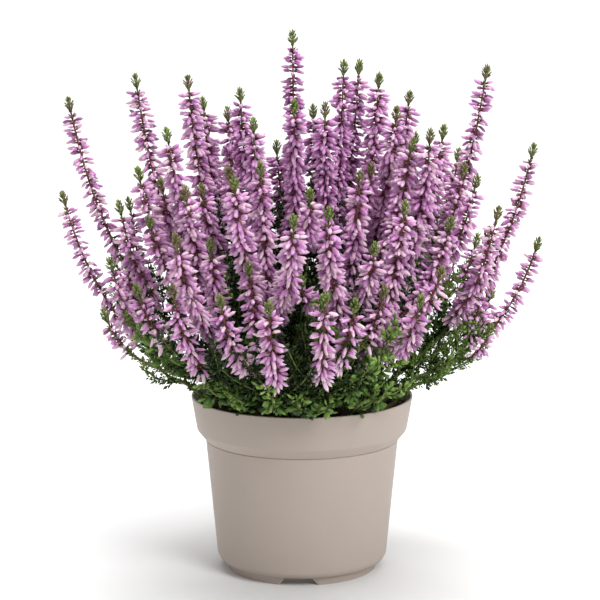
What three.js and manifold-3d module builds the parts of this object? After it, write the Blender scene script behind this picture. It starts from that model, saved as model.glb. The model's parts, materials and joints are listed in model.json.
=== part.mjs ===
// Potted heather: a nursery pot, the peat in it, and leafy stems that end in flower sprays.
// Millimetres, +Z up. The origin is the middle of the pot's foot, on the surface that it stands on,
// and the front is at -Y.
import * as THREE from "three";
import { mergeVertices } from "three/addons/utils/BufferGeometryUtils.js";
import Module from "manifold-3d";

const wasm = await Module();
wasm.setup();

// ---- Driving dimensions -------------------------------------------------------------------------

// Pot: a thin plastic shell with a straight collar and a foot ring.
const POT_HEIGHT = 95;
const RIM_RADIUS = 60;
const COLLAR_HEIGHT = 18.2;
const COLLAR_FOOT_RADIUS = 56.9;
const STEP_HEIGHT = 5.6;
const BODY_TOP_RADIUS = 52.2;
const BODY_FOOT_RADIUS = 46.3;
const CORNER_HEIGHT = 8.8;
const CORNER_SWELL = 0.8;
const CORNER_DROP = 0.4;
const FOOT_RADIUS = 41;
const FOOT_TOP_RADIUS = 42;
const FOOT_HEIGHT = 4.4;
const FOOT_THICKNESS = 1.6;
const WALL = 1.2;
const POT_SIDES = 32;

// The foot ring is notched so that water can run out, and the base plate has drainage holes.
const NOTCH_COUNT = 4;
const NOTCH_TURN = THREE.MathUtils.degToRad(-2.5);
const NOTCH_TOP_WIDTH = 14.3;
const NOTCH_FOOT_WIDTH = 20.5;
const NOTCH_HEIGHT = 3.7;
const NOTCH_BELOW = 1;
const NOTCH_INNER_SHARE = 0.7;
const DRAIN_COUNT = 5;
const DRAIN_RADIUS = 4;
const DRAIN_RING_RADIUS = 26;
const DRAIN_SIDES = 8;

// Peat: fills the pot to a little under the rim, in a low mound.
const PEAT_MIDDLE = 90.5;
const PEAT_EDGE = 88;
const PEAT_GAP = 0.35;
const PEAT_SIDES = 20;
const PEAT_RINGS = 3;
const PEAT_BUMP = 0.5;
const PEAT_WAVES = [0.31, 0.27];

// Stems stand in plain holes in the peat, and all lean away from one crown. Roots stand farther out
// the more their stems lean, at ROOT_SPREAD for LOWEST_LEAN, but none beyond ROOT_LIMIT.
const CROWN = new THREE.Vector3(0, 0, 90);
const ROOT_SPREAD = 58;
const ROOT_LIMIT = 46;
const LOWEST_LEAN = THREE.MathUtils.degToRad(75);
const ROOT_SPACING = 9;
const ROOT_PASSES = 40;
const ROOT_DEPTH = 12;
const ROOT_RISE = 4;
const HOLE_GAP = 0.45;
const HOLE_RISE = 8;
const BASE_LEAN_FACTOR = 1.25;
const MOST_BASE_LEAN = THREE.MathUtils.degToRad(57);
const TIP_LEAN_FACTOR = 0.28;

// How far along its way a stem keeps the heading that it sets off with and the one that it comes in
// with, as shares of the straight way to its tip; and the same for a spike that forks off it.
const STEM_ENDS = [0.38, 0.48];
const SIDE_ENDS = [0.25, 0.6];

// Thickness of the stems, and how far leaves and buds stand out of them. Buds stand out FULLEST
// times as far where the neighbours leave them the room.
const STEM_BASE_RADIUS = 1.5;
const STEM_RADIUS = 1.2;
const SIDE_RADIUS = 0.9;
const FORK_ROOT_RADIUS = 0.63;
const STALK_SIDES = 4;
const FIRST_BESIDE = new THREE.Vector3(0, 1, 0.3);
const FIRST_LEAF = 10;
const LEAF_REACH = 3.2;
const LEAF_RISE = 2.2;
const LEAF_PITCH = 12;
const SHOOT_LEAF_REACH = 4.8;
const SHOOT_LEAF_PITCH = 18;
const SHOOT_TIP_LENGTH = 7;
const BUD_REACH = 6.4;
const FULLEST = 1.18;
const BUD_CORE = 1.7;
const BUD_DROOP = -1.2;
const BUD_PITCH = 12;
const UNEVENNESS = 0.14;
const GREEN_TIP = 9;
const NECK = 3.5;
const NECK_RADIUS = 0.8;
const TIP_LEAF_REACH = 2.6;
const TIP_LEAF_RISE = 1.8;
const TIP_LEAF_PLACE = 0.5;
const LEAST_REACH = 0.5;
const ROOM_WINDOW = 6.5;
const ROW_TWIST = THREE.MathUtils.degToRad(19);

// Where a leafy stem hands over to its flower spray, and where the side spikes fork off, as shares
// of the stem's length. The leafy side shoots fork off lower: each is a fork and a length.
const SPRAY_START = 0.3;
const JOINT_GAP = 0.3;
const SPIKE_FORKS = [0.33, 0.37, 0.41, 0.45];
const LOWEST_FLOWER = 0.12;
const STEM_SHOOTS = [
  [0.08, 34],
  [0.16, 44],
  [0.24, 54],
];
const BARE_SHOOT_SHOOTS = [
  [0.25, 28],
  [0.45, 24],
  [0.65, 18],
];
const SHOOT_SPREAD = THREE.MathUtils.degToRad(42);
const SHOOT_RISE = 6;
const SHOOT_ENDS = [10, 8];
const SHOOT_TURN_UP = 7;
const SHOOT_ACROSS_RISE = 0.2;
const GOLDEN_ANGLE = THREE.MathUtils.degToRad(137.5);

// Neighbours are bent clear of each other, and of the pot's rim and the peat.
const BEAD_PITCH = 8;
const FEWEST_BEADS = 5;
const FINE_BEAD_PITCH = 2.5;
const CLEARING_PASSES = 40;
const NEIGHBOUR_SHARE = 0.88;
const SIBLING_SHARE = 0.75;
const FIT_CLEARANCE = 2.5;
const KEEP_OFF_FORK = 11;
const RIM_CLEARANCE = 3.6;
const RIM_WIDTH_IN = 12;
const RIM_WIDTH_OUT = 8;
const HELD_LENGTH = 30;
const MOVE_SHARE = 0.6;
const PAIRS_WITHIN = 45;

// Flower sprays at the sides and the top. Each row is one spray, and each entry in it is one
// spike: the place of its tip (x, y, z) and the length that bears flowers. The first spike
// continues the stem, and the others fork off it.
const TALL_SPRAYS = [
  [[-5, 5, 291, 130], [-4, -38, 257, 100], [-14, 30, 231, 80], [4, -62, 214, 75]],
  [[22, -8, 276, 120], [31, 22, 275, 100], [12, -30, 255, 90], [6, 20, 251, 100]],
  [[41, 2, 269, 115], [49, -30, 253, 95], [59, 32, 258, 95], [36, -28, 224, 70]],
  [[-33, 2, 261, 115], [-25, -40, 248, 95], [-41, 34, 249, 80], [-38, -30, 222, 70]],
  [[-60, -10, 268, 115], [-69, -44, 243, 90], [-54, 24, 255, 80], [-52, -38, 214, 70]],
  [[-89, 8, 268, 100], [-84, -42, 223, 80], [-81, 42, 206, 70], [-74, -20, 215, 70]],
  [[-124, 0, 256, 85], [-95, -34, 205, 75], [-104, 20, 170, 50], [-93, 0, 203, 70]],
  [[-127, -10, 207, 70], [-99, -46, 177, 48], [-98, 28, 163, 45], [-92, -14, 172, 48]],
  [[75, -8, 242, 95], [65, -50, 243, 90], [63, 40, 235, 80], [56, -14, 216, 70]],
  [[98, 0, 273, 110], [90, -40, 219, 80], [87, 38, 226, 75], [86, -10, 222, 80]],
  [[123, -5, 232, 92], [101, -44, 203, 75], [104, 34, 183, 60], [94, -4, 184, 60]],
  [[126, -12, 183, 50], [99, -38, 141, 16], [106, 28, 150, 22], [94, -8, 160, 32]],
];

// Shorter sprays that lean to the front. The back is filled the same way, half a turn round.
const FRONT_SPRAYS = [
  [[-21, -60, 227, 92], [-33, -92, 223, 85], [-4, -106, 206, 72], [-6, -84, 186, 50]],
  [[29, -64, 223, 95], [13, -100, 209, 80], [57, -46, 238, 85], [36, -86, 190, 55], [-1, -82, 173, 48]],
  [[51, -82, 210, 90], [58, -98, 166, 46], [76, -54, 199, 75], [70, -74, 176, 55]],
  [[11, -118, 170, 47], [26, -104, 165, 32], [41, -84, 168, 24]],
  [[-16, -117, 166, 46], [-40, -104, 167, 38], [-27, -82, 181, 42]],
  [[-59, -60, 215, 90], [-62, -92, 195, 72], [-79, -42, 199, 75], [-46, -72, 190, 60]],
  [[-64, -92, 170, 46], [-103, -44, 150, 20], [-84, -64, 166, 28]],
];
const BACK_TURN = THREE.MathUtils.degToRad(176);

// Leafy shoots with no flowers, low down all round: the place of each tip.
const BARE_SHOOTS = [
  [-40, -64, 112],
  [0, -80, 110],
  [38, -68, 112],
  [-82, -28, 128],
  [80, -28, 125],
  [10, 76, 114],
];

// ---- Materials ----------------------------------------------------------------------------------

/** A plain material for one part of the plant or the pot. */
function material(color, roughness) {
  return new THREE.MeshStandardMaterial({ color, roughness, metalness: 0 });
}

const POT_PLASTIC = material(0xb7a79f, 0.5);
const PEAT = material(0x2b1d15, 1);
const LEAF_GREEN = material(0x4d6a2c, 0.7);
const BLOOM_PINK = material(0xc184c4, 0.65);

// ---- Solids -------------------------------------------------------------------------------------

const MERGE_DISTANCE = 1e-4;

/** The closed solid that a geometry bounds, with its shared points merged. */
function solidOf(geometry) {
  const bare = geometry.clone();
  bare.deleteAttribute("normal");
  bare.deleteAttribute("uv");
  const merged = mergeVertices(bare, MERGE_DISTANCE);
  const corners = merged.index.array;
  const triangles = [];
  for (let i = 0; i < corners.length; i += 3) {
    const [a, b, c] = corners.slice(i, i + 3);
    if (a !== b && b !== c && c !== a) triangles.push(a, b, c);
  }
  return new wasm.Manifold(
    new wasm.Mesh({
      numProp: 3,
      vertProperties: merged.attributes.position.array,
      triVerts: new Uint32Array(triangles),
    }),
  );
}

/** A fused solid without the loose scraps that it shed and the hollows that it sealed. */
function wholeBody(solid) {
  return solid.decompose().reduce((most, body) => (body.volume() > most.volume() ? body : most));
}

/** A named mesh of a solid. */
function meshOf(name, solid, look) {
  const { vertProperties, triVerts } = wholeBody(solid).getMesh();
  const geometry = new THREE.BufferGeometry();
  geometry.setAttribute("position", new THREE.BufferAttribute(vertProperties, 3));
  geometry.setIndex(new THREE.BufferAttribute(triVerts, 1));
  const mesh = new THREE.Mesh(geometry, look);
  mesh.name = name;
  return mesh;
}

/** A solid of revolution about Z, from a profile of [radius, height] points. */
function turned(profile, sides) {
  const points = profile.map(([radius, height]) => new THREE.Vector2(radius, height));
  return new THREE.LatheGeometry(points, sides).rotateX(Math.PI / 2);
}

// ---- Pot and peat -------------------------------------------------------------------------------

const COLLAR_FOOT_HEIGHT = POT_HEIGHT - COLLAR_HEIGHT;
const BODY_TOP_HEIGHT = COLLAR_FOOT_HEIGHT - STEP_HEIGHT;
const FLOOR_HEIGHT = FOOT_HEIGHT + WALL;

/** The inner wall from the floor up to the rim, as [radius, height] points. */
function innerWall() {
  return [
    [FOOT_TOP_RADIUS - WALL, FLOOR_HEIGHT],
    [BODY_FOOT_RADIUS - WALL, CORNER_HEIGHT + WALL],
    [BODY_TOP_RADIUS - WALL, BODY_TOP_HEIGHT],
    [COLLAR_FOOT_RADIUS - WALL, COLLAR_FOOT_HEIGHT],
    [RIM_RADIUS - WALL, POT_HEIGHT],
  ];
}

/** The pot: a turned shell with notches through its foot ring and holes in its base plate. */
function potSolid() {
  const cornerMiddle = [
    (BODY_FOOT_RADIUS + FOOT_TOP_RADIUS) / 2 + CORNER_SWELL,
    (FOOT_HEIGHT + CORNER_HEIGHT) / 2 - CORNER_DROP,
  ];
  const profile = [
    [0, FOOT_HEIGHT],
    [FOOT_RADIUS - FOOT_THICKNESS, FOOT_HEIGHT],
    [FOOT_RADIUS - FOOT_THICKNESS, 0],
    [FOOT_RADIUS, 0],
    [FOOT_TOP_RADIUS, FOOT_HEIGHT],
    cornerMiddle,
    [BODY_FOOT_RADIUS, CORNER_HEIGHT],
    [BODY_TOP_RADIUS, BODY_TOP_HEIGHT],
    [COLLAR_FOOT_RADIUS, COLLAR_FOOT_HEIGHT],
    [RIM_RADIUS, POT_HEIGHT],
    ...innerWall().reverse(),
    [0, FLOOR_HEIGHT],
  ];
  let pot = solidOf(turned(profile, POT_SIDES));
  for (let i = 0; i < NOTCH_COUNT; i += 1) {
    const turn = NOTCH_TURN + (i * 2 * Math.PI) / NOTCH_COUNT;
    pot = pot.subtract(solidOf(notchGeometry().rotateZ(turn)));
  }
  for (let i = 0; i < DRAIN_COUNT; i += 1) {
    const turn = (i * 2 * Math.PI) / DRAIN_COUNT;
    const drain = new THREE.CylinderGeometry(DRAIN_RADIUS, DRAIN_RADIUS, 4 * WALL, DRAIN_SIDES);
    drain.rotateX(Math.PI / 2).translate(DRAIN_RING_RADIUS, 0, FOOT_HEIGHT + WALL / 2);
    pot = pot.subtract(solidOf(drain.rotateZ(turn)));
  }
  return pot;
}

/** The trapezoid that one notch takes out of the foot ring at the front. */
function notchGeometry() {
  const outline = new THREE.Shape([
    new THREE.Vector2(-NOTCH_FOOT_WIDTH / 2, -NOTCH_BELOW),
    new THREE.Vector2(NOTCH_FOOT_WIDTH / 2, -NOTCH_BELOW),
    new THREE.Vector2(NOTCH_TOP_WIDTH / 2, NOTCH_HEIGHT),
    new THREE.Vector2(-NOTCH_TOP_WIDTH / 2, NOTCH_HEIGHT),
  ]);
  const depth = FOOT_RADIUS / 2;
  const notch = new THREE.ExtrudeGeometry(outline, { depth, bevelEnabled: false });
  return notch.rotateX(Math.PI / 2).translate(0, -FOOT_RADIUS * NOTCH_INNER_SHARE, 0);
}

/** Height of the peat at a place: a low mound with a few shallow bumps. */
function peatHeight(x, y) {
  const share = Math.hypot(x, y) / RIM_RADIUS;
  const bump = Math.sin(x * PEAT_WAVES[0] + 1) * Math.cos(y * PEAT_WAVES[1]);
  return PEAT_MIDDLE + (PEAT_EDGE - PEAT_MIDDLE) * share * share + PEAT_BUMP * bump;
}

/** The peat: it follows the pot's inner wall with a small gap all round. */
function peatSolid() {
  const [floor, corner, bodyTop, collarFoot, rim] = innerWall();
  const rise = (PEAT_EDGE - collarFoot[1]) / (rim[1] - collarFoot[1]);
  const edgeRadius = collarFoot[0] + (rim[0] - collarFoot[0]) * rise - PEAT_GAP;
  const profile = [
    [0, floor[1] + PEAT_GAP],
    [floor[0] - PEAT_GAP, floor[1] + PEAT_GAP],
    ...[corner, bodyTop, collarFoot].map(([radius, height]) => [
      radius - PEAT_GAP,
      height + PEAT_GAP,
    ]),
    [edgeRadius, PEAT_EDGE],
  ];
  for (let ring = PEAT_RINGS - 1; ring >= 0; ring -= 1) {
    profile.push([(edgeRadius * ring) / PEAT_RINGS, PEAT_MIDDLE]);
  }
  const peat = turned(profile, PEAT_SIDES);
  const at = peat.attributes.position;
  const topAbove = (PEAT_EDGE + PEAT_MIDDLE) / 2;
  for (let i = 0; i < at.count; i += 1) {
    if (at.getZ(i) > topAbove) at.setZ(i, peatHeight(at.getX(i), at.getY(i)));
  }
  return solidOf(peat);
}

// ---- Where the stems and spikes run -------------------------------------------------------------

/** A direction that leans from straight up by an angle, towards a place. */
function leaning(towards, lean) {
  const away = new THREE.Vector3(towards.x, towards.y, 0).normalize();
  return away.multiplyScalar(Math.sin(lean)).setZ(Math.cos(lean));
}

/** How far a tip lies off the vertical, seen from the crown. */
function leanOf(tip) {
  return tip.clone().sub(CROWN).angleTo(new THREE.Vector3(0, 0, 1));
}

/** A curve from one place to a tip, setting off in a direction and turning up towards the tip. */
function growthCurve(from, heading, tip, [settingOff, comingIn]) {
  const reach = from.distanceTo(tip);
  const coming = leaning(tip, leanOf(tip) * TIP_LEAN_FACTOR);
  const after = from.clone().addScaledVector(heading, settingOff * reach);
  const before = tip.clone().addScaledVector(coming, -comingIn * reach);
  return new THREE.CubicBezierCurve3(from.clone(), after, before, tip.clone());
}

/** Roots of the stems: the more a stem leans, the farther out it stands; then spread evenly. */
function rootPlaces(tips) {
  const roots = tips.map((tip) => {
    const radius = (ROOT_SPREAD * leanOf(tip)) / LOWEST_LEAN;
    return new THREE.Vector2(tip.x, tip.y).setLength(Math.min(radius, ROOT_LIMIT));
  });
  for (let pass = 0; pass < ROOT_PASSES; pass += 1) {
    roots.forEach((root, i) => {
      roots.forEach((other, j) => {
        const gap = root.distanceTo(other);
        if (i === j || gap >= ROOT_SPACING) return;
        const push = root.clone().sub(other).multiplyScalar((ROOT_SPACING - gap) / (2 * gap));
        root.add(push);
        other.sub(push);
      });
    });
  }
  return roots.map(({ x, y }) => new THREE.Vector3(x, y, peatHeight(x, y)));
}

/** How much a stem to a tip leans where it leaves the peat. */
function baseLeanOf(tip) {
  return Math.min(leanOf(tip) * BASE_LEAN_FACTOR, MOST_BASE_LEAN);
}

/**
 * One branch: a curve sampled as evenly spaced beads.
 * kind: stem, spike or shoot; plant: which stem it belongs to; parent and fork: the branch that it
 * forks off, and where; spans: what it bears along its length, as [share of length, reach] steps.
 */
function branchAlong(curve, kind, plant, spans, parent = null, fork = 0) {
  const length = curve.getLength();
  const count = Math.max(FEWEST_BEADS, Math.round(length / BEAD_PITCH));
  return { points: curve.getSpacedPoints(count), length, kind, plant, spans, parent, fork };
}

/** How far leaves or buds reach out at a share of the branch's length. */
function reachAt(branch, share) {
  let reach = branch.spans[0][1];
  for (const [start, spanReach] of branch.spans) {
    if (share >= start) reach = spanReach;
  }
  return reach;
}

/** Place on a branch, by share of its length, straight between its beads. */
function placeOn(branch, share) {
  const along = share * (branch.points.length - 1);
  const index = Math.min(Math.floor(along), branch.points.length - 2);
  return branch.points[index].clone().lerp(branch.points[index + 1], along - index);
}

/** The spans of a spike: bare up to its flowers, then buds, then the green tip. */
function spikeSpans(length, flowering, baseSpans) {
  const tipStart = 1 - GREEN_TIP / length;
  const flowerStart = Math.max(tipStart - flowering / length, LOWEST_FLOWER);
  return [...baseSpans, [flowerStart, BUD_REACH], [tipStart, TIP_LEAF_REACH]];
}

/** The stem that carries a spray, its side spikes, and its leafy side shoots. */
function sprayBranches(root, spikes, plant) {
  const tips = spikes.map(([x, y, z]) => new THREE.Vector3(x, y, z));
  const curve = growthCurve(root, leaning(tips[0], baseLeanOf(tips[0])), tips[0], STEM_ENDS);
  const baseSpans = [
    [0, LEAF_REACH],
    [SPRAY_START, STEM_RADIUS],
  ];
  const spans = spikeSpans(curve.getLength(), spikes[0][3], baseSpans);
  const main = branchAlong(curve, "stem", plant, spans);
  const sides = tips.slice(1).map((tip, i) => {
    const from = curve.getPointAt(SPIKE_FORKS[i]);
    const straight = tip.clone().sub(from).normalize();
    const heading = curve.getTangentAt(SPIKE_FORKS[i]).add(straight).normalize();
    const side = growthCurve(from, heading, tip, SIDE_ENDS);
    const sideSpans = spikeSpans(side.getLength(), spikes[i + 1][3], [[0, SIDE_RADIUS]]);
    return branchAlong(side, "spike", plant, sideSpans, main, SPIKE_FORKS[i]);
  });
  return [main, ...sides, ...shootBranches(main, curve, STEM_SHOOTS)];
}

/** Leafy side shoots: they set off round the stem by the golden angle and turn up. */
function shootBranches(main, curve, places) {
  return places.map(([fork, length], i) => {
    const from = curve.getPointAt(fork);
    const turn = GOLDEN_ANGLE * (main.plant * places.length + i);
    const across = new THREE.Vector3(Math.cos(turn), Math.sin(turn), SHOOT_ACROSS_RISE).normalize();
    const heading = curve.getTangentAt(fork).multiplyScalar(Math.cos(SHOOT_SPREAD));
    heading.addScaledVector(across, Math.sin(SHOOT_SPREAD)).normalize();
    const tip = from.clone().addScaledVector(heading, length);
    tip.z += SHOOT_RISE;
    const after = from.clone().addScaledVector(heading, SHOOT_ENDS[0]);
    const before = tip.clone().addScaledVector(heading, -SHOOT_ENDS[1]);
    before.z -= SHOOT_TURN_UP;
    const shoot = new THREE.CubicBezierCurve3(from, after, before, tip);
    return branchAlong(shoot, "shoot", main.plant, [[0, SHOOT_LEAF_REACH]], main, fork);
  });
}

/** A leafy shoot with no flowers, straight from the peat, with leafy side shoots of its own. */
function bareShootBranches(root, place, plant) {
  const tip = new THREE.Vector3(...place);
  const curve = growthCurve(root, leaning(tip, baseLeanOf(tip)), tip, STEM_ENDS);
  const main = branchAlong(curve, "stem", plant, [[0, LEAF_REACH]]);
  return [main, ...shootBranches(main, curve, BARE_SHOOT_SHOOTS)];
}

/** Whether two beads of one stem are too near their fork to be kept apart. */
function nearFork(bead, other) {
  if (bead.branch === other.branch) return true;
  if (Math.min(bead.along, other.along) < KEEP_OFF_FORK) return true;
  if (bead.branch.parent === other.branch) return bead.along < KEEP_OFF_FORK;
  return other.branch.parent === bead.branch && other.along < KEEP_OFF_FORK;
}

/** How much room two beads need between them, or 0 where they may be as near as they like. */
function roomBetween(bead, other) {
  const reach = bead.reach + other.reach;
  if (bead.branch.plant !== other.branch.plant) return NEIGHBOUR_SHARE * reach;
  return nearFork(bead, other) ? 0 : SIBLING_SHARE * reach;
}

/** All beads of the branches, with what the clearing needs to know about each. */
function beadsOf(branches) {
  return branches.flatMap((branch) =>
    branch.points.map((at, i) => {
      const share = i / (branch.points.length - 1);
      const along = share * branch.length;
      return { branch, at, along, share, reach: reachAt(branch, share), shift: new THREE.Vector3() };
    }),
  );
}

/** The pairs of beads that could come too near each other, with the room that each pair needs. */
function pairsOf(beads) {
  const pairs = [];
  beads.forEach((bead, i) => {
    for (const other of beads.slice(i + 1)) {
      if (bead.at.distanceTo(other.at) >= PAIRS_WITHIN) continue;
      const room = roomBetween(bead, other);
      if (room > 0) pairs.push({ bead, other, room });
    }
  });
  return pairs;
}

/** Push that lifts a bead clear of the rim and of the peat. */
function liftClear(bead) {
  const radius = Math.hypot(bead.at.x, bead.at.y);
  const isByRim = radius > RIM_RADIUS - RIM_WIDTH_IN;
  const floor = isByRim ? POT_HEIGHT + RIM_CLEARANCE : peatHeight(0, 0) + 1;
  const low = radius < RIM_RADIUS + RIM_WIDTH_OUT ? floor + bead.reach - bead.at.z : 0;
  if (low > 0 && bead.along > KEEP_OFF_FORK) bead.shift.z += low / 2;
}

/** One round of pushing neighbours apart. */
function pushApart(beads, pairs) {
  for (const bead of beads) bead.shift.set(0, 0, 0);
  for (const { bead, other, room } of pairs) {
    const apart = bead.at.clone().sub(other.at);
    const gap = apart.length();
    if (gap >= room || gap === 0) continue;
    apart.multiplyScalar((room - gap) / (2 * gap));
    bead.shift.add(apart);
    other.shift.sub(apart);
  }
  beads.forEach(liftClear);
}

/** Shifts evened out along a branch: each becomes a quarter of its neighbours and half of itself. */
function evened(shifts) {
  return shifts.map((shift, i) => {
    const before = shifts[Math.max(i - 1, 0)];
    const after = shifts[Math.min(i + 1, shifts.length - 1)];
    return shift.clone().multiplyScalar(2).add(before).add(after).multiplyScalar(0.25);
  });
}

/** Moves one branch by its beads' pushes, evened out twice along it, with its root end held. */
function moveBranch(branch, beads) {
  const shifts = evened(evened(beads.map((bead) => bead.shift)));
  const carried = branch.parent ? placeOn(branch.parent, branch.fork).sub(branch.points[0]) : null;
  beads.forEach((bead, i) => {
    bead.at.addScaledVector(shifts[i], MOVE_SHARE * Math.min(bead.along / HELD_LENGTH, 1));
    if (carried) bead.at.addScaledVector(carried, (1 - bead.share) ** 2);
  });
}

/** Bends the branches clear of each other, a little at a time. */
function bendClear(branches) {
  const beads = beadsOf(branches);
  const beadsByBranch = new Map(branches.map((branch) => [branch, []]));
  for (const bead of beads) beadsByBranch.get(bead.branch).push(bead);
  const pairs = pairsOf(beads);
  for (let pass = 0; pass < CLEARING_PASSES; pass += 1) {
    pushApart(beads, pairs);
    for (const branch of branches) moveBranch(branch, beadsByBranch.get(branch));
  }
}

/** A spray's spikes carried round the plant to its back. */
function carriedBack(spikes) {
  const axis = new THREE.Vector3(0, 0, 1);
  return spikes.map(([x, y, z, flowering]) => {
    const tip = new THREE.Vector3(x, y, z).applyAxisAngle(axis, BACK_TURN);
    return [tip.x, tip.y, tip.z, flowering];
  });
}

/** All the branches of the plant, in their places. */
function layOut(sprays) {
  const tips = [...sprays.map((spikes) => spikes[0]), ...BARE_SHOOTS];
  const roots = rootPlaces(tips.map(([x, y, z]) => new THREE.Vector3(x, y, z)));
  const plants = sprays.map((spikes, i) => sprayBranches(roots[i], spikes, i));
  for (const tip of BARE_SHOOTS) {
    plants.push(bareShootBranches(roots[plants.length], tip, plants.length));
  }
  bendClear(plants.flat());
  return plants;
}

// ---- Stalks -------------------------------------------------------------------------------------

/**
 * Closed tube round a centre line, STALK_SIDES points to a row. From row to row the points stand
 * by turns close in and out at the tip of a bud or leaf, so each bud or leaf is a four-sided point.
 * A row has a centre, the directions along and beside the line, its turn about the line, the inner
 * and outer reach, and how far the outer points are moved along the line.
 */
function stalkGeometry(rows, apex) {
  const corners = [];
  const triangles = [];
  rows.forEach((row, j) => {
    const over = row.along.clone().cross(row.beside);
    for (let k = 0; k < STALK_SIDES; k += 1) {
      const isOut = (j + k) % 2 === 0;
      const angle = row.turn + (k * 2 * Math.PI) / STALK_SIDES;
      const reach = isOut ? row.outer : row.inner;
      const corner = row.centre.clone().addScaledVector(row.beside, reach * Math.cos(angle));
      corner.addScaledVector(over, reach * Math.sin(angle));
      corners.push(corner.addScaledVector(row.along, isOut ? row.rise : 0));
      if (j + 1 < rows.length) {
        const [a, b] = [STALK_SIDES * j + k, STALK_SIDES * j + ((k + 1) % STALK_SIDES)];
        const [c, d] = [b + STALK_SIDES, a + STALK_SIDES];
        triangles.push(...(isOut ? [a, b, d, b, c, d] : [a, b, c, a, c, d]));
      }
    }
  });
  const top = STALK_SIDES * (rows.length - 1);
  triangles.push(0, 2, 1, 0, 3, 2);
  if (apex) {
    corners.push(apex);
    for (let k = 0; k < STALK_SIDES; k += 1) {
      triangles.push(top + k, top + ((k + 1) % STALK_SIDES), top + STALK_SIDES);
    }
  } else {
    triangles.push(top, top + 1, top + 2, top, top + 2, top + 3);
  }
  const geometry = new THREE.BufferGeometry().setFromPoints(corners);
  return geometry.setIndex(triangles);
}

/** Gives each row its direction and a sideways direction that doesn't spin from row to row. */
function frameRows(rows, curve, length) {
  let beside = FIRST_BESIDE;
  rows.forEach((row, j) => {
    const share = THREE.MathUtils.clamp(row.at / length, 0, 1);
    row.along ??= curve.getTangentAt(share);
    row.centre ??= curve.getPointAt(share);
    beside = beside.clone().addScaledVector(row.along, -beside.dot(row.along)).normalize();
    row.beside = beside;
    row.turn = j * ROW_TWIST;
  });
  return rows;
}

/** A row with no buds or leaves. */
function plainRow(at, radius) {
  return { at, inner: radius, outer: radius, rise: 0 };
}

/** Rows of points between two places along a branch, about a pitch apart and a little uneven. */
function pointedRows(from, to, pitch, row) {
  const count = Math.max(1, Math.round((to - from) / pitch));
  const rows = [];
  for (let i = 0; i <= count; i += 1) {
    const outer = row.outer * (1 - UNEVENNESS * Math.sin(i * GOLDEN_ANGLE) ** 2);
    rows.push({ ...row, outer, at: from + ((to - from) * i) / count });
  }
  return rows;
}

/** Keeps a row's points within the room that the neighbours leave. */
function fitRows(rows, room) {
  for (const row of rows) {
    const limit = room(row.at);
    row.outer = Math.min(row.outer, limit);
    row.inner = Math.min(row.inner, limit);
  }
  return rows;
}

/** The smooth line through a branch's beads. */
function lineOf(branch) {
  return new THREE.CatmullRomCurve3(branch.points);
}

/** Two plain rows in line, from under the peat to just above it; the root leans half as much. */
function rootRows(line, depth, height, radius) {
  const along = line.getTangentAt(0).add(new THREE.Vector3(0, 0, 1)).normalize();
  return [-depth, height].map((at) => {
    const centre = line.getPointAt(0).addScaledVector(along, at);
    return { ...plainRow(0, radius), along: along.clone(), centre };
  });
}

/** Leafy stem from its hole in the peat up to where its spray starts or, with no spray, its tip. */
function leafyStemSolid(branches, room, hasSpray) {
  const [main] = branches;
  const line = lineOf(main);
  const length = line.getLength();
  const end = hasSpray ? SPRAY_START * length : length;
  const leaf = { inner: STEM_RADIUS, outer: LEAF_REACH, rise: LEAF_RISE };
  const rows = [
    ...rootRows(line, ROOT_DEPTH, ROOT_RISE, STEM_BASE_RADIUS),
    ...pointedRows(FIRST_LEAF, end - LEAF_PITCH, LEAF_PITCH, leaf),
    ...(hasSpray ? [plainRow(end, STEM_RADIUS)] : []),
  ];
  const apex = hasSpray ? null : line.getPointAt(1);
  frameRows(fitRows(rows, room(main)), line, length);
  rows[1].turn = rows[0].turn;
  let stem = solidOf(stalkGeometry(rows, apex));
  for (const shoot of branches.filter(({ kind }) => kind === "shoot")) {
    stem = stem.add(shootSolid(shoot, room(shoot)));
  }
  return stem;
}

/** A leafy side shoot, rooted in the middle of its stem. */
function shootSolid(shoot, room) {
  const line = lineOf(shoot);
  const length = line.getLength();
  const leaf = { inner: SIDE_RADIUS, outer: SHOOT_LEAF_REACH, rise: LEAF_RISE };
  const rows = [
    plainRow(0, FORK_ROOT_RADIUS),
    ...pointedRows(FIRST_LEAF, length - SHOOT_TIP_LENGTH, SHOOT_LEAF_PITCH, leaf),
  ];
  frameRows(fitRows(rows, room), line, length);
  return solidOf(stalkGeometry(rows, line.getPointAt(1)));
}

/** A spike: its bare lower stalk from a given place, its flowers, a neck and the green tip. */
function spikeSolid(branch, start, radius, room) {
  const line = lineOf(branch);
  const length = line.getLength();
  const [flowerStart] = branch.spans[branch.spans.length - 2];
  const buds = { inner: BUD_CORE, outer: BUD_REACH * FULLEST, rise: BUD_DROOP };
  const tipLeaf = { inner: SIDE_RADIUS, outer: TIP_LEAF_REACH, rise: TIP_LEAF_RISE };
  const tipStart = length - GREEN_TIP;
  const firstBud = flowerStart * length + BUD_PITCH;
  const rows = [
    plainRow(start, radius),
    plainRow(firstBud - BUD_PITCH, SIDE_RADIUS),
    ...pointedRows(firstBud, tipStart - NECK, BUD_PITCH, buds),
    plainRow(tipStart, NECK_RADIUS),
    { ...tipLeaf, at: tipStart + GREEN_TIP * TIP_LEAF_PLACE },
  ];
  frameRows(fitRows(rows, room), line, length);
  return solidOf(stalkGeometry(rows, line.getPointAt(1)));
}

/** Flower spray: the stem's flowering end with its side spikes, rooted in its middle. */
function spraySolid(branches, room) {
  const [main] = branches;
  const start = SPRAY_START * lineOf(main).getLength() + JOINT_GAP;
  let spray = spikeSolid(main, start, STEM_RADIUS, room(main));
  for (const side of branches.filter(({ kind }) => kind === "spike")) {
    spray = spray.add(spikeSolid(side, 0, FORK_ROOT_RADIUS, room(side)));
  }
  return spray;
}

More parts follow.
